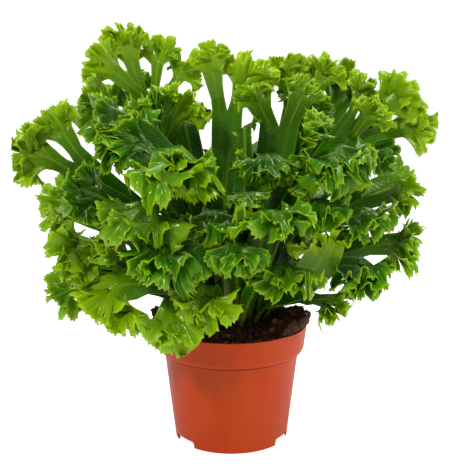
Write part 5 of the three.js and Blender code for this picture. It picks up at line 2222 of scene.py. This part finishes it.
@dataclass(frozen=True)
class LeafFinish:
    """Glossy fern leaf: deep green in the blade, fresh at the crests, with a pale edge and ribs.

    The mottle is its blotch scale, grain scale and contrast. Low on each frond the blade keeps
    the deep green, a painted shade as well as its own darker green; toward the top and the tips
    it pales, a painted light as well as its younger green. Pairs from grown to stalks say where
    along the frond, or from which age or wave, an effect rises from none to full.
    """

    deep: Colour = (6, 58, 0)
    fresh: Colour = (62, 142, 0)
    young_and_lit_green: Colour = (172, 208, 0)
    edge: Colour = (196, 220, 20)
    rib: Colour = (150, 176, 30)
    stalk: Colour = (92, 104, 30)
    mottle: tuple[float, float, float] = (24.0, 380.0, 0.16)
    # Below grown the blade keeps the deep green, a painted shade on the lower strap as well as its
    # own darker green.
    grown: Pair = (0.2, 0.75)
    crested: Pair = (0.82, 1.0)
    # Painted light: toward the top the frond pales to a light green, as well as its younger
    # growth's own colour.
    top_light_and_paling: Pair = (0.5, 1.0)
    pale_ages: Pair = (0.3, 1.0)
    tips: Pair = (0.9, 1.0)
    veins: Pair = (0.3, 1.0)
    stalks: Pair = (0.3, 0.02)
    roughness: float = 0.17
    roughness_grain: float = 0.12
    age_share: float = 0.5
    crest_share: float = 0.5
    blotch_share: float = 0.22
    young_and_lit_share: float = 0.76
    tip_share: float = 0.16
    vein_share: float = 0.05
    grain_share: float = 0.1
    stalk_share: float = 0.75
    rib_share: float = 0.45
    edge_share: float = 0.38
    vein_height: float = 0.14
    rib_height: float = 1.6
    grain_height: float = 0.5
    bump: Pair = (0.45, 0.0003)
    gloss: float = 0.42
    gloss_tint: tuple[float, ...] = (0.86, 1.0, 0.5, 1.0)
    glow_through: float = 0.12
    glow_radius: tuple[float, ...] = (0.4, 1.0, 0.15)
    glow_scale: float = 0.002

    def build(self, mottle: Tree) -> Material:
        """Colours the leaf by the place along the frond and its age, with veins and a waxy gloss.

        Args:
            mottle: The group of blotches and grain.

        Returns:
            The material.
        """
        material, graph, shader = blank_material("leaf")
        times, plus, ramp = graph.times, graph.plus, graph.ramp
        margin, rib, vein, along, tone = (graph.mark(name) for name in Frond.MARKS)
        blotches, grain = graph.spots(mottle, self.mottle)
        # Painted shade: the age colour only rises along the frond, so the lower strap stays deep
        # green, as well as its own darker green.
        grown = times(times(tone, ramp(along, *self.grown)), self.age_share)
        age = plus(grown, times(ramp(along, *self.crested), self.crest_share))
        lively = plus(age, times(blotches, self.blotch_share), clamp=True)
        # Painted light: the upper frond and the crests' tips pale toward a light green, as well as
        # the young growth's own colour.
        pale = ramp(along, *self.top_light_and_paling, 0.0, self.young_and_lit_share)
        young_and_painted_light = times(ramp(tone, *self.pale_ages), pale)
        young_and_painted_light = plus(young_and_painted_light, ramp(along, *self.tips, 0.0, self.tip_share), clamp=True)
        wave = graph.math("SINE", times(vein, 2 * math.pi))
        colour = srgb(self.deep)
        for share, over in (
            (lively, self.fresh),
            (young_and_painted_light, self.young_and_lit_green),
            (times(ramp(wave, *self.veins), self.vein_share), self.young_and_lit_green),
            (times(grain, self.grain_share), self.deep),
            (times(ramp(along, *self.stalks), self.stalk_share), self.stalk),
            (times(rib, self.rib_share), self.rib),
            (times(margin, self.edge_share), self.edge),
        ):
            colour = graph.mix(share, colour, srgb(over))
        relief = plus(times(wave, self.vein_height), times(rib, self.rib_height))
        relief = plus(relief, times(grain, self.grain_height))
        graph.feed(shader, {
            "Base Color": colour,
            "Roughness": plus(times(grain, self.roughness_grain), self.roughness),
            "Specular IOR Level": self.gloss,
            "Specular Tint": self.gloss_tint,
            "Subsurface Weight": self.glow_through,
            "Subsurface Radius": self.glow_radius,
            "Subsurface Scale": self.glow_scale,
            "Normal": graph.bump(relief, *self.bump),
        })
        return material


@dataclass(frozen=True)
class PotFinish:
    """Terracotta plastic: satin, with a faint haze of scuffs and flow marks round the side.

    The mottle is its blotch scale, grain scale and contrast, the band shadow is a painted shade
    line under the band's step, and heights and reaches are in metres.
    """

    base: Colour = (190, 56, 0)
    pale: Colour = (196, 92, 40)
    # Painted shade: a thin dark line under the band's step.
    band_shadow: Colour = (104, 26, 6)
    band_shadow_height: float = 0.0706
    mottle: tuple[float, float, float] = (30.0, 900.0, 0.2)
    streak_scale: float = 240.0
    streaks: Pair = (0.52, 0.72)
    unevenness: float = 45.0
    band_shadow_reach: Pair = (0.0014, 0.0006)
    band_shadow_share: float = 0.7
    dust_share: float = 0.22
    streak_share: float = 0.14
    streak_draw: Point = (1.0, 1.0, 0.12)
    roughness: float = 0.36
    dust_roughness: float = 0.1
    streak_roughness: float = 0.08
    band_shadow_roughness: float = 0.5
    grain_height: float = 0.04
    bump: Pair = (0.3, 0.0006)
    gloss: float = 0.3
    gloss_tint: tuple[float, ...] = (1.0, 0.8, 0.6, 1.0)

    def build(self, mottle: Tree) -> Material:
        """Colours the pot evenly with pale dust, and makes it a little uneven, as thin plastic is.

        Args:
            mottle: The group of blotches and grain.

        Returns:
            The material.
        """
        material, graph, shader = blank_material("pot plastic")
        times, plus = graph.times, graph.plus
        place = graph.node("TexCoord").outputs["Object"]
        blotches, grain = graph.spots(mottle, self.mottle)
        drawn = graph.node("Mapping", {"Vector": place, "Scale": self.streak_draw}).outputs[0]
        streak = graph.ramp(graph.noise(drawn, self.streak_scale, 3.0), *self.streaks)
        dust = plus(times(blotches, self.dust_share), times(streak, self.streak_share))
        # Painted shade: a thin dark line at the height where the band's step meets the body.
        height = graph.node("SeparateXYZ", {0: place}).outputs[2]
        away = graph.math("ABSOLUTE", graph.math("SUBTRACT", height, self.band_shadow_height))
        band_shadow = graph.ramp(away, *self.band_shadow_reach)
        colour = graph.mix(dust, srgb(self.base), srgb(self.pale))
        rough = plus(times(blotches, self.dust_roughness), self.roughness)
        rough = plus(rough, times(streak, self.streak_roughness))
        relief = plus(graph.noise(place, self.unevenness, 1.0), times(grain, self.grain_height))
        graph.feed(shader, {
            "Base Color": graph.mix(times(band_shadow, self.band_shadow_share), colour, srgb(self.band_shadow)),
            "Roughness": plus(rough, times(band_shadow, self.band_shadow_roughness), clamp=True),
            "Specular IOR Level": self.gloss,
            "Specular Tint": self.gloss_tint,
            "Normal": graph.bump(relief, *self.bump),
        })
        return material


@dataclass(frozen=True)
class PeatFinish:
    """Moist peat: nearly black in its hollows, brown on its crumbs, with lighter fibres."""

    dark: Colour = (54, 33, 20)
    brown: Colour = (114, 70, 42)
    fibre: Colour = (172, 120, 74)
    mottle: tuple[float, float, float] = (210.0, 700.0, 0.18)
    browned: Pair = (0.35, 0.8)
    faded: Pair = (0.8, 1.0)
    grain_share: float = 0.3
    brown_share: float = 0.6
    fibre_share: float = 0.7
    roughness: Pair = (0.75, 0.95)
    gloss: float = 0.3
    bump: Pair = (1.0, 0.0016)

    def build(self, name: str, mottle: Tree, loose: bool) -> Material:
        """Colours the ground by fine noise, and the loose pieces by their tone as well.

        Args:
            name: The material's name.
            mottle: The group of blotches and grain.
            loose: Whether it is for the loose pieces.

        Returns:
            The material.
        """
        material, graph, shader = blank_material(name)
        blotches, grain = graph.spots(mottle, self.mottle)
        colour = graph.mix(blotches, srgb(self.dark), srgb(self.brown))
        if loose:
            tone = graph.mark("tone")
            browned = graph.ramp(tone, *self.browned, 0.0, self.brown_share)
            colour = graph.mix(browned, colour, srgb(self.brown))
            faded = graph.ramp(tone, *self.faded, 0.0, self.fibre_share)
            colour = graph.mix(faded, colour, srgb(self.fibre))
        else:
            colour = graph.mix(graph.times(grain, self.grain_share), colour, srgb(self.fibre))
        graph.feed(shader, {
            "Base Color": colour,
            "Roughness": graph.ramp(grain, 0.0, 1.0, *self.roughness),
            "Specular IOR Level": self.gloss,
            "Normal": graph.bump(grain, *self.bump),
        })
        return material


@dataclass(frozen=True)
class Studio:
    """A plain pale sweep, soft lights and the camera that looks from the photograph's place.

    Its sizes are in metres. A light is its name, its place, its power, its size and its share of
    the gloss.
    """

    camera_place: Point = (0.0, -0.720, 0.300)
    pitch: float = 0.187
    lens: float = 72.77
    shift: float = 0.0026
    sensor: float = 36.0
    sky: float = 0.08
    gleam: float = 0.3
    haze: float = 0.86
    glow: float = 0.2
    whiteness: float = 0.55
    floor_colour: Colour = (250, 250, 249)
    floor_roughness: float = 0.9
    floor_gloss: float = 0.1
    floor_width: Pair = (-4.0, 4.0)
    floor_depth: Pair = (-3.0, 4.0)
    floor_columns: int = 9
    floor_rows: int = 57
    floor_bend: float = 2.0
    floor_curve: float = 0.9
    aim: Point = (0.0, 0.0, 0.17)
    lights: tuple[tuple[str, Point, float, float, float], ...] = (
        ("key", (-1.1, -1.3, 1.6), 27.0, 0.35, 1.0),
        ("fill", (1.7, -0.5, 0.8), 16.0, 0.8, 0.4),
        ("top", (0.2, 0.3, 2.0), 22.0, 1.0, 0.25),
    )

    def build(self) -> None:
        """Makes the floor, the sky, the lights and the camera."""
        self.floor()
        self.world()
        for light in self.lights:
            self.light(*light)
        self.camera()

    def floor(self) -> None:
        """A sheet that lies flat and then curves up behind: height is the square past the bend."""
        wide = np.linspace(*self.floor_width, self.floor_columns)
        across, back = np.meshgrid(wide, np.linspace(*self.floor_depth, self.floor_rows))
        past = np.maximum(back - self.floor_bend, 0.0)
        points = np.stack([across, back, past**2 * self.floor_curve], -1) / MM
        quads = grid_quads(np.arange(across.size).reshape(across.shape))
        material, graph, shader = blank_material("studio floor")
        seen = graph.node("LightPath").outputs["Is Camera Ray"]
        graph.feed(shader, {
            "Base Color": srgb(self.floor_colour),
            "Roughness": self.floor_roughness,
            "Specular IOR Level": self.floor_gloss,
            "Emission Color": (1.0, 1.0, 1.0, 1.0),
            "Emission Strength": graph.plus(graph.times(seen, self.whiteness), self.glow),
        })
        sheet = Surface(points.reshape(-1, 3), (quads,)).make("studio_floor", material)
        sheet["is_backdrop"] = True

    def world(self) -> None:
        """An even white sky, brighter where it is mirrored or seen, as white screens are."""
        world = bpy.data.worlds.new("studio")
        world.use_nodes = True
        graph = Graph(world.node_tree)
        backdrop = next(n for n in world.node_tree.nodes if n.type == "BACKGROUND")
        rays = graph.node("LightPath").outputs
        strength = graph.plus(graph.times(rays["Is Glossy Ray"], self.gleam), self.sky)
        strength = graph.plus(graph.times(rays["Is Camera Ray"], self.haze), strength)
        graph.feed(backdrop, {"Color": (1.0, 1.0, 1.0, 1.0), "Strength": strength})
        bpy.context.scene.world = world
        bpy.context.scene.view_settings.view_transform = "Standard"

    def light(self, name: str, place: Point, power: float, size: float, gloss: float) -> None:
        """Adds a square soft light that faces the middle of the plant.

        Args:
            name: The light's name.
            place: Where it hangs.
            power: Its power in watts.
            size: The length of its side.
            gloss: Its share of the gloss.
        """
        data = bpy.data.lights.new(name, "AREA")
        data.energy = power
        data.specular_factor = gloss
        data.size = size
        lamp = bpy.data.objects.new(name, data)
        lamp.location = place
        lamp.rotation_euler = (Vector(self.aim) - Vector(place)).to_track_quat("-Z", "Y").to_euler()
        bpy.context.scene.collection.objects.link(lamp)

    def camera(self) -> None:
        """The camera at the photograph's place, level with the upper crests and pitched down."""
        data = bpy.data.cameras.new("camera")
        data.lens = self.lens
        data.sensor_width = self.sensor
        data.sensor_fit = "HORIZONTAL"
        data.shift_x = self.shift
        eye = bpy.data.objects.new("camera", data)
        eye.location = self.camera_place
        eye.rotation_euler = (math.pi / 2 - self.pitch, 0.0, 0.0)
        bpy.context.scene.collection.objects.link(eye)
        bpy.context.scene.camera = eye


def main() -> None:
    """Builds the studio and the plant."""
    logging.basicConfig(level=logging.INFO, format="%(message)s")
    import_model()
    solid_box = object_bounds()
    Studio().build()
    mottle = mottle_group()
    peat = PeatFinish()
    ground = peat.build("peat", mottle, loose=False)
    loose = peat.build("loose peat", mottle, loose=True)
    pieces = [NurseryPot().dress(PotFinish().build(mottle)), *Soil().dress(ground, loose)]
    low, high = (np.array(corner) / MM for corner in solid_box)
    box = Box(np.array([low[0], low[1], 0.0]), high)
    leaf = LeafFinish().build(mottle)
    pieces += [Frond(plan, box).dress(leaf) for plan in FROND_PLANS]
    for piece in pieces:
        log.info("%s: %d faces", piece.name, len(piece.data.polygons))


if __name__ == "__main__":
    main()
